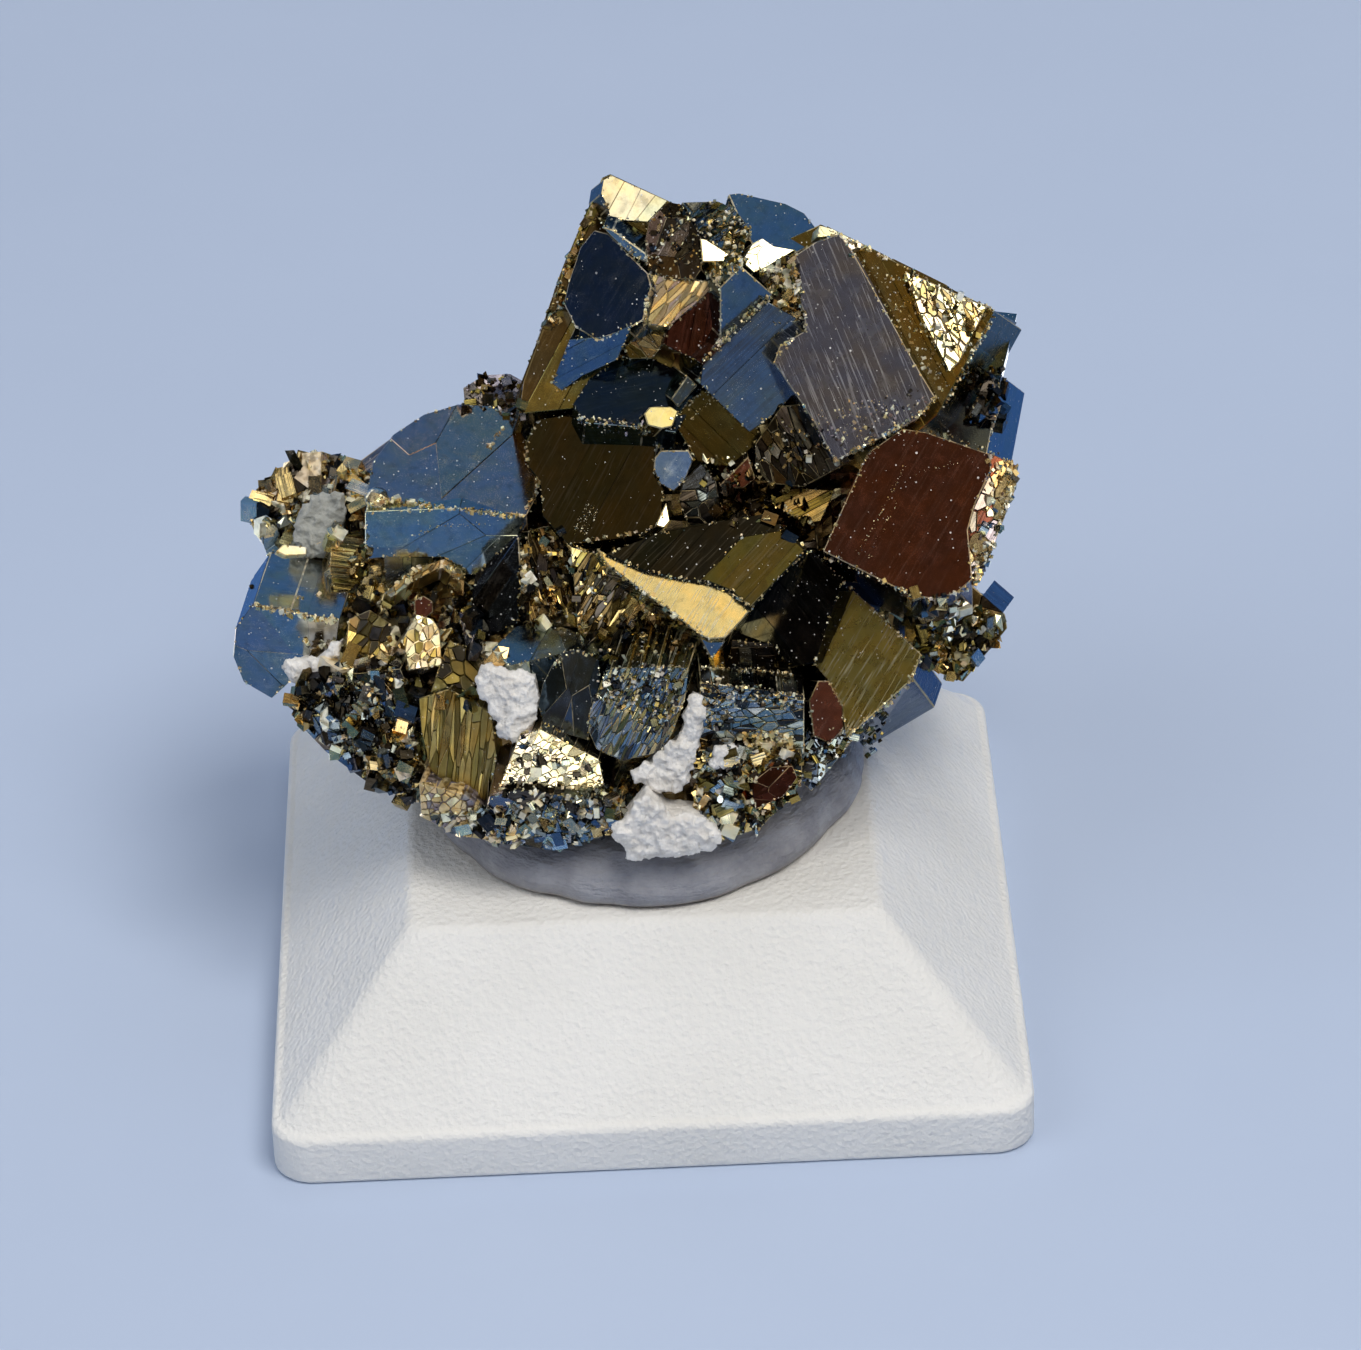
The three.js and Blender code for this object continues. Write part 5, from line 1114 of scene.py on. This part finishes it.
def add_plain_crystal(piece, crystal, rng):
    name, w, lean, depth, flare, outline = crystal
    tint, finish, _ = LOOKS[name]
    points, normal = leaning_face(outline, w, lean)
    bm = prism(points, normal, depth, flare, PLAIN_WEAR)
    bm.normal_update()
    under = [i for i, f in enumerate(bm.faces) if f.material_index != RIM
             and f.normal.dot(normal) < 0.4 and f.normal.dot(UP) < 0]
    first = len(piece.faces)
    angle = 112 if name == "grey_slab" else 60
    piece.add_bmesh(bm, varied(tint, rng, 0.05), finish, grain_direction(angle, normal),
                    slot_for(name, None))
    # Its lower sides are tinted dark blue: painted reflection of the blue surroundings they face.
    if name == "olive_slab":  # its lower sides mirror the blue surroundings
        for i in under:
            piece.tints[first + i] = (0.03, 0.075, 0.16)
            piece.finishes[first + i] = 0.12


def add_crystal(piece, crystal, rng):
    """One crystal of the front, with its face broken up as its look says."""
    name, w, lean, depth, flare, outline = crystal
    tint, finish, broken = LOOKS[name]
    if not broken:
        add_plain_crystal(piece, crystal, rng)
        return
    slot = slot_for(name, broken)
    ring = counter_clockwise(outline)
    anchor = middle_of(ring)
    gap = 0.0
    if broken[0] == "strips":
        _, angle, narrowest, widest, height, tilt = broken
        parts = strips(ring, angle, narrowest, widest, rng)
    else:
        _, count, height, tilt, longer, angle = broken[:6]
        parts = shards(ring, count, longer, angle, rng)
        gap = CRACK if count > FINELY_BROKEN else 0.0
    points, normal = leaning_face(ring, w - height - 2 * gap, lean)
    bm = prism(points, normal, depth, flare, BROKEN_WEAR)
    # Under a finely broken face the crystal's body is darker, so the cracks between its fragments
    # read dark: painted shade in the cracks.
    base = tuple(0.6 * c for c in pick(tint, rng)) if gap else pick(tint, rng)
    piece.add_bmesh(bm, varied(base, rng), finish, grain_direction(angle, normal), slot)
    for part in parts:
        if gap:
            part = shrunk(part, gap * rng.uniform(0.5, 1.5))
        own = broken[6] if len(broken) > 6 else lean
        tipped = (own[0] + rng.gauss(0, 0.6) * tilt, own[1] + rng.gauss(0, 0.6) * tilt)
        middle = middle_of(part)
        part_w = face_depth(middle, anchor, w, lean) + rng.uniform(-height, height) * 0.7
        points, normal = leaning_face(part, part_w, tipped, middle)
        bm = prism(points, normal, depth * 0.9, 0.0, PART_WEAR)
        if tilt < 2.5 or rng.random() < 0.7:
            for face in bm.faces:
                face.material_index = 0
        piece.add_bmesh(bm, varied(pick(tint, rng), rng), finish * rng.uniform(0.8, 1.3),
                        grain_direction(angle + rng.uniform(-3, 3), normal), slot)


def back_piece(rng):
    """The crystals of the sides and the back."""
    piece = Piece()
    colours = (GOLD, OLIVE, TAN, BLUE, GREY, BROWN, GOLD)
    for i, (at, size, turn) in enumerate(BACK_CRYSTALS):
        bm = block(size, BLOCK_CUT)
        wear_edges(bm, BLOCK_WEAR)
        spin = Euler([math.radians(a) for a in turn], "XYZ").to_matrix()
        centre = seen(*at)
        for vertex in bm.verts:
            vertex.co = centre + spin @ vertex.co
        tint = varied(colours[i % len(colours)], rng)
        piece.add_bmesh(bm, tint, rng.uniform(0.1, 0.22), spin @ Vector((1, 0.02, 0.01)),
                        (MIRROR, RIBBED)[i % 2])
    return piece


def add_bright_knob(piece, rng):
    """The round bright growth at the left cube's corner."""
    dome = bmesh.new()
    bmesh.ops.create_icosphere(dome, subdivisions=3, radius=0.55)
    for vertex in dome.verts:
        bump = 1 + 0.25 * noise.noise(vertex.co * 2.2)
        vertex.co = seen(-12.95, 7.5, 3.5) + vertex.co * bump
    piece.add_bmesh(dome, varied(CREAM, rng), 0.22, Vector((1, 0.1, 0.2)), ROUGH)


def crumbled(points, seed):
    """The rough mass inside a hull of points, broken into small stepped facets."""
    size, height, tilt = 1.5, 0.14, 0.5
    bm = bmesh.new()
    for p in points:
        bm.verts.new(p)
    bmesh.ops.convex_hull(bm, input=bm.verts[:])
    fine = fused(bm, 0.42)
    corners = []
    shift = Vector((seed * 3.7, seed * 1.3, seed * 2.1))
    for vertex in fine.vertices:
        place_mm = vertex.co.copy()
        move = 0.0
        for scale, share in ((1.0, 1.0), (0.45, 0.5)):
            q = place_mm / (size * scale) + shift
            facet = noise.cell_vector(q) - Vector((0.5, 0.5, 0.5))
            local = q - Vector([math.floor(c) + 0.5 for c in q])
            move += share * (height * facet.x * 2 + tilt * size * scale * local.dot(facet))
        corners.append(place_mm + vertex.normal * (move - 0.15))
    for corner in corners:
        corner.z = max(corner.z, SPECIMEN_FOOT)
    return corners, [list(p.vertices) for p in fine.polygons]


def mass_piece():
    piece = Piece()
    upper = [seen(*p) for p in UPPER_MASS]
    lower = [Vector(p) for p in LOWER_MASS]
    for seed, points in ((1, lower), (2, upper)):
        corners, faces = crumbled(points, seed)
        piece.add(corners, faces, (0.40, 0.34, 0.20), 0.2, Vector((1, 0, 0.2)), ROUGH)
    return piece


def joined(pieces):
    """The shapes and tints of several pieces in one."""
    everything = Piece()
    for piece in pieces:
        base = len(everything.verts)
        everything.verts.extend(piece.verts)
        everything.faces.extend([base + i for i in face] for face in piece.faces)
        everything.tints.extend(piece.tints)
    return everything


def chips(count, seed):
    """Shapes of broken bits: hulls round a few points, about one across."""
    rng = random.Random(seed)
    shapes = []
    for _ in range(count):
        bm = bmesh.new()
        long = rng.uniform(0.8, 1.9)
        for _ in range(9):
            p = Vector([rng.gauss(0, 1) for _ in range(3)]).normalized() * 0.5
            bm.verts.new((p.x * long, p.y, p.z * rng.uniform(0.5, 1.0)))
        hull = bmesh.ops.convex_hull(bm, input=bm.verts[:])
        spare = [g for g in hull["geom_interior"] if isinstance(g, bmesh.types.BMVert)]
        bmesh.ops.delete(bm, geom=spare, context="VERTS")
        bm.verts.index_update()
        shapes.append(([v.co.copy() for v in bm.verts],
                       [[v.index for v in f.verts] for f in bm.faces]))
        bm.free()
    return shapes


CHIPS = chips(CHIP_SHAPES, 3)
BOX_FACES = [[3, 2, 1, 0], [4, 5, 6, 7], [0, 1, 5, 4], [1, 2, 6, 5], [2, 3, 7, 6], [3, 0, 4, 7]]


def small_crystal(piece, at, edge, rng, tint, finish, facing):
    """A small box crystal or a broken bit of one, turned at random or lying on its bed."""
    turn = random_turn(rng)
    if rng.random() < 0.6:
        shape, faces = rng.choice(CHIPS)
        corners = [at + turn @ (p * edge * 1.1) for p in shape]
    else:
        faces = BOX_FACES
        size = (edge * rng.uniform(0.5, 1.4), edge * rng.uniform(0.5, 1.2),
                edge * rng.uniform(0.5, 1))
        if rng.random() < 0.6:
            turn = facing.to_track_quat("Z", "Y").to_matrix() @ Matrix.Rotation(
                rng.uniform(0, math.tau), 3, "Z")
        corners = [at + turn @ Vector((sx * size[0] / 2, sy * size[1] / 2, sz * size[2] / 2))
                   for sz in (-1, 1) for sx, sy in ((-1, -1), (1, -1), (1, 1), (-1, 1))]
    piece.add(corners, faces, tint, finish, turn @ Vector((1, 0, 0)), ROUGH)


def cast(tree, u, v):
    """Where the line of sight through u, v meets the specimen, and the normal there."""
    hit, normal, _, _ = tree.ray_cast(EYE, (seen(u, v, 0) - EYE).normalized())
    return hit, normal


def add_beds(piece, tree, table, rng):
    """Small crystals in the hollows of the front."""
    clear = [table[name][5] for name in SWEPT]
    for outline, count, (smallest, largest), colours, finish in BEDS:
        placed = 0
        while placed < count:
            u, v = random_point(outline, rng)
            if not inside(outline, u, v):
                continue
            placed += 1
            if any(inside(swept, u, v) for swept in clear):
                continue
            hit, normal = cast(tree, u, v)
            if hit is None or hit.z < SPECIMEN_FOOT + 0.3:
                continue
            edge = smallest + (largest - smallest) * rng.random() ** 2
            tint = rng.choice(colours)
            # Most cream bits are made matt, so they stay bright under any light: painted glints.
            small_crystal(piece, hit + normal * edge * 0.1, edge, rng, varied(tint, rng, 0.3),
                          0.4 if tint is CREAM and rng.random() < 0.6 else finish, normal)


def add_bright_edges(piece, tree, rng):
    """Chips along the seams, and along the outlines of the crystals that show their edges."""
    edges = [(line, dense, size, None) for line, dense, size in SEAMS]
    for name, w, lean, _, _, outline in CRYSTALS:
        if name not in SMOOTH_EDGED:
            edges.append((outline + outline[:1], 6.0, 0.08, (middle_of(outline), w, lean)))
    for line, dense, size, face in edges:
        total = sum(math.dist(p, q) for p, q in zip(line, line[1:]))
        for _ in range(int(total * dense)):
            u, v = point_along(line, rng.random())
            u += rng.gauss(0, 0.05)
            v += rng.gauss(0, 0.05)
            hit, normal = cast(tree, u, v)
            if hit is None:
                continue
            if face:  # a chip belongs to its own crystal, not to one behind it
                off = (hit - seen(u, v, 0)).dot(TO_VIEWER) - face_depth((u, v), *face)
                if abs(off) > 0.45:
                    continue
            edge = size * rng.uniform(0.5, 1.5)
            # Most chips are cream and half of them matt: painted highlights along the broken edges.
            small_crystal(piece, hit + normal * edge * 0.1, edge, rng,
                          varied(rng.choice((CREAM, CREAM, CREAM, GOLD, TAN)), rng, 0.15),
                          rng.choice((0.2, 0.4)), normal)


def line_from_outside(rng):
    """A line that meets the sides, the back or the top of the specimen."""
    turn = math.radians(rng.uniform(35, 325))
    rise = math.radians(rng.uniform(-35, 80))
    out = Vector((math.sin(turn) * math.cos(rise), -math.cos(turn) * math.cos(rise),
                  math.sin(rise)))
    middle = Vector((0.5, 2.0, 20.0))
    start = middle + out * 60
    aim = middle + Vector([rng.uniform(-9, 9) for _ in range(3)])
    return start, (aim - start).normalized()


def terraces_piece(everything, tree, rng):
    """Low growth steps on the wide faces of the sides and the back."""
    piece = Piece()
    for _ in range(TERRACE_TRIES):
        hit, normal, index, _ = tree.ray_cast(*line_from_outside(rng))
        if hit is None or hit.z < SPECIMEN_FOOT + 1 or normal.dot(TO_VIEWER) > 0.1:
            continue
        face = everything.faces[index]
        along = (everything.verts[face[1]] - everything.verts[face[0]]).normalized()
        across = normal.cross(along)
        long_side = rng.uniform(0.8, 3.4)
        short_side = rng.uniform(0.3, 1.3)
        corners = [hit + along * (x * long_side / 2) + across * (y * short_side / 2)
                   for x in (-1, 0, 1) for y in (-1, 1)]
        depths = [tree.ray_cast(corner + normal * 0.5, -normal)[3] for corner in corners]
        if any(depth is None or abs(depth - 0.5) > 0.02 for depth in depths):
            continue
        bm = block((long_side, short_side, 0.3), 0.04)
        turned = Matrix((along, across, normal)).transposed()
        lift = normal * rng.uniform(-0.12, -0.06)
        for vertex in bm.verts:
            vertex.co = hit + lift + turned @ vertex.co
        piece.add_bmesh(bm, varied(everything.tints[index], rng, 0.07), rng.uniform(0.1, 0.2),
                        along, MIRROR)
    return piece


def druse_piece(tree, rng):
    """Small crystals on the sides, the back and the top, kept small along the silhouette."""
    piece = Piece()
    for _ in range(DRUSE_TRIES):
        hit, normal, _, _ = tree.ray_cast(*line_from_outside(rng))
        if hit is None or hit.z < SPECIMEN_FOOT + 0.5 or normal.dot(TO_VIEWER) > 0.25:
            continue
        clump = noise.noise(hit * 0.35)
        if clump < -0.05:
            continue
        edge = 0.2 + 1.1 * rng.random() ** 3
        edge = min(edge, max(0.1, SPECIMEN_BACK - hit.y))
        around = [hit + RIGHT * x * edge * 1.5 + UP * y * edge * 1.5
                  for x, y in ((1, 0), (-1, 0), (0, 1), (0, -1))]
        if any(tree.ray_cast(EYE, (p - EYE).normalized(), (p - EYE).length - edge)[0] is None
               for p in around):
            if normal.dot(RIGHT) > -0.7 or rng.random() < 0.5:
                continue
            edge = rng.uniform(0.08, 0.24)
        small_crystal(piece, hit + normal * edge * 0.05, edge, rng,
                      varied(rng.choice((GOLD, OLIVE, TAN, BROWN, GREY)), rng, 0.3), 0.18, normal)
    return piece


def make_specimen():
    rng = random.Random(11)
    table = {crystal[0]: crystal for crystal in CRYSTALS}
    pieces = {}
    for group, names in GROUPS.items():
        pieces[group] = Piece()
        for name in names:
            add_crystal(pieces[group], table[name], rng)
    pieces["pyrite_back"] = back_piece(rng)
    add_bright_knob(pieces["pyrite_left"], rng)
    pieces["pyrite_mass"] = mass_piece()

    everything = joined(pieces.values())
    tree = everything.tree()
    grit = Piece()
    add_beds(grit, tree, table, rng)
    add_bright_edges(grit, tree, rng)
    pieces["pyrite_grit"] = grit
    pieces["pyrite_terraces"] = terraces_piece(everything, tree, rng)
    pieces["pyrite_druse"] = druse_piece(tree, rng)

    for name, piece in pieces.items():
        for corner in piece.verts:
            corner.z = max(corner.z, SPECIMEN_FOOT)
        piece.build(name, PYRITES, "pyrite", ("pyrite",))


def make_quartz():
    """Each lump is a heap of small grains fused together, rough as sugar."""
    white = quartz_material("quartz_white", (0.90, 0.86, 0.80, 1), (0.72, 0.68, 0.62, 1))
    grey = quartz_material("quartz_grey", (0.42, 0.42, 0.38, 1), (0.30, 0.30, 0.27, 1))
    rng = random.Random(5)
    for name, (w, lean, depth, outline) in QUARTZ.items():
        ring = counter_clockwise(outline)
        points, _ = leaning_face(ring, w, lean)
        bm = prism(points, towards(*lean), depth * 0.9, -0.1)
        bmesh.ops.triangulate(bm, faces=bm.faces[:])
        grains = int(90 * abs(area_of(ring)))
        for _ in range(grains):
            u, v = random_point(ring, rng)
            if not inside(ring, u, v):
                continue
            edge = rng.uniform(0.15, 0.5)
            grain_w = face_depth((u, v), middle_of(ring), w, lean) + rng.uniform(-0.15, 0.12)
            at = Matrix.Translation(seen(u, v, grain_w)) @ random_turn(rng).to_4x4()
            bmesh.ops.create_cube(bm, size=edge, matrix=at)
        lump = fused(bm, 0.075)
        for vertex in lump.vertices:
            p = vertex.co
            push = 0.07 * noise.noise(p * 2.5) + 0.04 * noise.noise(p * 7.0)
            vertex.co = (p + vertex.normal * push) * MM
        lump.name = name
        lump.materials.clear()
        lump.materials.append(grey if name == "quartz_back_left" else white)
        smooth(lump)
        place(name + "_lump", lump, (name,))


# The stand and the putty

def smooth(mesh):
    for polygon in mesh.polygons:
        polygon.use_smooth = True


def lathe(rings):
    """A closed mesh from rings of points, in millimetres."""
    count = len(rings[0])
    verts = [tuple(p * MM) for ring in rings for p in ring]
    faces = []
    for k in range(len(rings) - 1):
        for i in range(count):
            a = k * count + i
            b = k * count + (i + 1) % count
            faces.append((a, b, b + count, a + count))
    faces.append(tuple(range(count))[::-1])
    last = (len(rings) - 1) * count
    faces.append(tuple(last + i for i in range(count)))
    mesh = bpy.data.meshes.new("lathe")
    mesh.from_pydata(verts, [], faces)
    smooth(mesh)
    return mesh


def square_ring(width, radius, z):
    """The outline of a square with rounded corners."""
    steps = 8
    points = []
    inset = width / 2 - radius
    for quarter in range(4):
        corner = math.pi / 2 * (quarter + 0.5)
        cx = inset * math.sqrt(2) * math.cos(corner)
        cy = inset * math.sqrt(2) * math.sin(corner)
        for step in range(steps + 1):
            angle = math.pi / 2 * (quarter + step / steps)
            points.append(Vector((cx + radius * math.cos(angle), cy + radius * math.sin(angle), z)))
    return points


def make_stand():
    """The square stand, its edges slightly rounded as a moulding's are."""
    rings = [square_ring(STAND_WIDTH - 0.7, 1.4, 0.0), square_ring(STAND_WIDTH - 0.6, 1.4, 0.0)]
    for step in range(5):
        turn = math.pi / 2 * step / 4
        rings.append(square_ring(STAND_WIDTH - 0.5 * (1 - math.sin(turn)), 1.7,
                                 0.25 * (1 - math.cos(turn))))
    shoulder = 0.34
    rings.append(square_ring(STAND_WIDTH, 1.7, STAND_RIM - shoulder - 0.02))
    for step in range(6):
        turn = math.pi / 2 * step / 5
        inset = shoulder * (1 - math.cos(turn))
        rings.append(square_ring(STAND_WIDTH - 2 * inset, 1.7 - inset * 0.3,
                                 STAND_RIM - shoulder * (1 - math.sin(turn))))
    base_half = STAND_WIDTH / 2 - shoulder
    top_half = PLATFORM_WIDTH / 2
    for share in (0.02, 0.25, 0.5, 0.75, 0.95, 0.985):
        half = base_half + (top_half - base_half) * share
        z = STAND_RIM + (STAND_HEIGHT - STAND_RIM) * share
        rings.append(square_ring(2 * half, 1.5 - 0.8 * share, z))
    for narrower, radius, lower in ((0.12, 0.66, 0.035), (0.36, 0.6, 0.004), (0.5, 0.55, 0.0)):
        rings.append(square_ring(PLATFORM_WIDTH - narrower, radius, STAND_HEIGHT - lower))
    mesh = lathe(rings)
    mesh.materials.append(stand_material())
    place("stand_moulding", mesh, ("stand",))


# The putty's side, as share of its radius and height, and its creases, as place round the pad,
# depth and width in degrees
PUTTY_PROFILE = [
    (0.9, 0.0), (0.955, 0.04), (0.985, 0.22), (1.0, 0.5), (1.003, 0.8), (0.995, 1.1),
    (0.975, 1.45), (0.945, 1.8), (0.905, 2.1), (0.86, 2.35), (0.8, 2.55), (0.7, 2.68),
    (0.4, PUTTY_HEIGHT),
]
PUTTY_CREASES = [(-112, 0.28, 5), (-97, 0.16, 4), (-60, 0.2, 6), (-25, 0.18, 5), (20, 0.2, 6),
                 (75, 0.2, 7), (130, 0.25, 6), (175, 0.2, 6), (218, 0.3, 6)]


def make_putty():
    """The pad of putty, pressed out under the specimen, with soft bulges and creases."""
    steps = 360
    rings = []
    for share, rise in PUTTY_PROFILE:
        ring = []
        height = STAND_HEIGHT + 0.02 + rise
        up = rise / PUTTY_HEIGHT
        for i in range(steps):
            degrees = 360 * i / steps
            angle = math.radians(degrees)
            uneven = 1 + 0.018 * math.sin(3 * angle + 0.6) + 0.012 * math.cos(5 * angle)
            radius = PUTTY_RADIUS * share * uneven
            for at, deep, wide in PUTTY_CREASES:
                lean = at + 6 * (up - 0.5)
                off = (degrees - lean + 180) % 360 - 180
                fold = math.exp(-(off / wide) ** 2) * math.sin(math.pi * min(1, up + 0.15))
                radius -= deep * fold
            p = Vector((radius * math.cos(angle) + 0.15, radius * math.sin(angle) + 0.05, height))
            push = 0.14 * noise.noise(p * 0.55) + 0.05 * noise.noise(p * 1.9)
            p += Vector((math.cos(angle), math.sin(angle), 0.25)) * push * min(1, up * 3)
            ring.append(p)
        rings.append(ring)
    mesh = lathe(rings)
    mesh.materials.append(putty_material())
    place("putty_pad", mesh, ("putty",))


make_specimen()
make_quartz()
make_stand()
make_putty()


# The floor
def floor_material():
    material, n, place_mm = new_material("floor_pale")
    colour = n.mix(n.noise(place_mm, 0.05), (0.50, 0.58, 0.73, 1), (0.47, 0.55, 0.70, 1))
    n.surface({"Base Color": colour, "Roughness": 0.8})
    return material


floor_mesh = bpy.data.meshes.new("floor")
floor_mesh.from_pydata([(-1, -1, 0), (1, -1, 0), (1, 1, 0), (-1, 1, 0)], [], [(0, 1, 2, 3)])
floor_mesh.materials.append(floor_material())
floor = bpy.data.objects.new("floor", floor_mesh)
bpy.context.scene.collection.objects.link(floor)
floor.visible_glossy = False


# The surroundings that the crystal faces mirror: blue paper below and behind, a dark room above
# and in front, and warm lamps. Each is a soft patch of sky: a direction, how far from it the patch
# is full and where it ends, in degrees, and its light.
def from_viewer(right, up):
    """A direction this many degrees round to the right of the viewer, and up from level."""
    a = math.radians(right)
    e = math.radians(up)
    return (math.sin(a) * math.cos(e), -math.cos(a) * math.cos(e), math.sin(e))


SKY = [
    (from_viewer(0, -90), 82, 92, (0.065, 0.165, 0.37)),
    (from_viewer(180, 25), 40, 78, (0.065, 0.16, 0.35)),
    (from_viewer(0, 12), 16, 48, (0.10, 0.08, 0.05)),
    (from_viewer(2, 36), 7, 19, (0.15, 0.14, 0.17)),
    (from_viewer(-24, 45), 7, 15, (0.16, 0.12, 0.07)),
    (from_viewer(24, 60), 9, 27, (0.20, 0.16, 0.09)),
    (from_viewer(20, 62), 5, 9, (0.9, 0.75, 0.48)),
    (from_viewer(47, 48), 8, 13, (4.6, 4.3, 3.6)),
    (from_viewer(-4, -2), 6, 12, (3.4, 3.3, 2.9)),
    (from_viewer(-69, 46), 8, 20, (0.018, 0.04, 0.08)),
    (from_viewer(40, 80), 8, 14, (0.03, 0.06, 0.12)),
    (from_viewer(95, 15), 14, 26, (1.7, 1.65, 1.5)),
    (from_viewer(-108, 22), 14, 26, (1.5, 1.5, 1.4)),
]
# Smaller lamps all round, which the rough growth sparkles with
for right, up, half in ((-10, -72, 12), (-52, -60, 12), (180, -38, 12), (-40, 19, 4), (64, 10, 5),
                        (-78, 2, 5), (-36, -25, 4), (40, -22, 5), (4, -47, 4), (128, 20, 6),
                        (-142, 30, 6), (172, 72, 4), (-95, 66, 6), (-32, 64, 4), (15, 25, 3),
                        (100, -30, 8), (-100, -28, 8)):
    SKY.append((from_viewer(right, up), half * 0.6, half * 1.3, (3.6, 3.4, 2.9)))
ROOM = (0.010, 0.009, 0.008)
DIFFUSE_LIGHT = (0.21, 0.23, 0.28, 1)  # what lights matt surfaces, from all sides
BACKDROP = (0.62, 0.70, 0.82, 1)  # what the camera sees past the floor

world = bpy.data.worlds.new("studio")
bpy.context.scene.world = world
world.use_nodes = True
world.cycles.sampling_method = "NONE"
n = Nodes(world.node_tree)
gaze = n.add("ShaderNodeTexCoord").outputs["Generated"]
light = ROOM
for direction, full, end, colour in SKY:
    facing = n.add("ShaderNodeVectorMath", {0: gaze, 1: direction}, operation="DOT_PRODUCT")
    share = n.ramp(facing.outputs["Value"], math.cos(math.radians(end)),
                   math.cos(math.radians(full)))
    light = n.add("ShaderNodeVectorMath", {0: share, 1: colour, 2: light},
                  operation="MULTIPLY_ADD").outputs[0]
rays = n.add("ShaderNodeLightPath").outputs
shown = n.mix(rays["Is Diffuse Ray"], light, DIFFUSE_LIGHT)
shown = n.mix(rays["Is Camera Ray"], shown, BACKDROP)
background = n.add("ShaderNodeBackground", {"Color": shown, "Strength": 1.0})
n.add("ShaderNodeOutputWorld", {"Surface": background.outputs[0]})


def softbox(name, right, up, distance, size, power, colour):
    """A square area light on the specimen. The crystals mirror the sky's lamps instead."""
    data = bpy.data.lights.new(name, "AREA")
    data.shape = "SQUARE"
    data.size = size
    data.energy = power
    data.color = colour
    lamp = bpy.data.objects.new(name, data)
    aim = Vector((0.001, 0.0, 0.015))
    lamp.location = aim + Vector(from_viewer(right, up)) * distance
    lamp.rotation_euler = (aim - lamp.location).to_track_quat("-Z", "Y").to_euler()
    lamp.visible_glossy = False
    bpy.context.scene.collection.objects.link(lamp)


softbox("key", 35, 62, 0.5, 0.25, 1.65, (1.0, 0.97, 0.92))
softbox("fill", -60, 45, 0.6, 0.4, 0.72, (0.92, 0.96, 1.0))
softbox("behind", 160, 60, 0.6, 0.4, 0.5, (0.9, 0.95, 1.0))

# The camera
lens = bpy.data.cameras.new("camera")
lens.sensor_width = 36.0
lens.lens = 36.0 * FOCAL_PIXELS / PICTURE_WIDTH
lens.clip_start = 0.01
lens.clip_end = 10.0
camera = bpy.data.objects.new("camera", lens)
axes = Matrix((RIGHT, UP, TO_VIEWER)).transposed().to_4x4()
camera.matrix_world = Matrix.Translation(EYE * MM) @ axes
bpy.context.scene.collection.objects.link(camera)
bpy.context.scene.camera = camera
bpy.context.scene.view_settings.view_transform = "Standard"
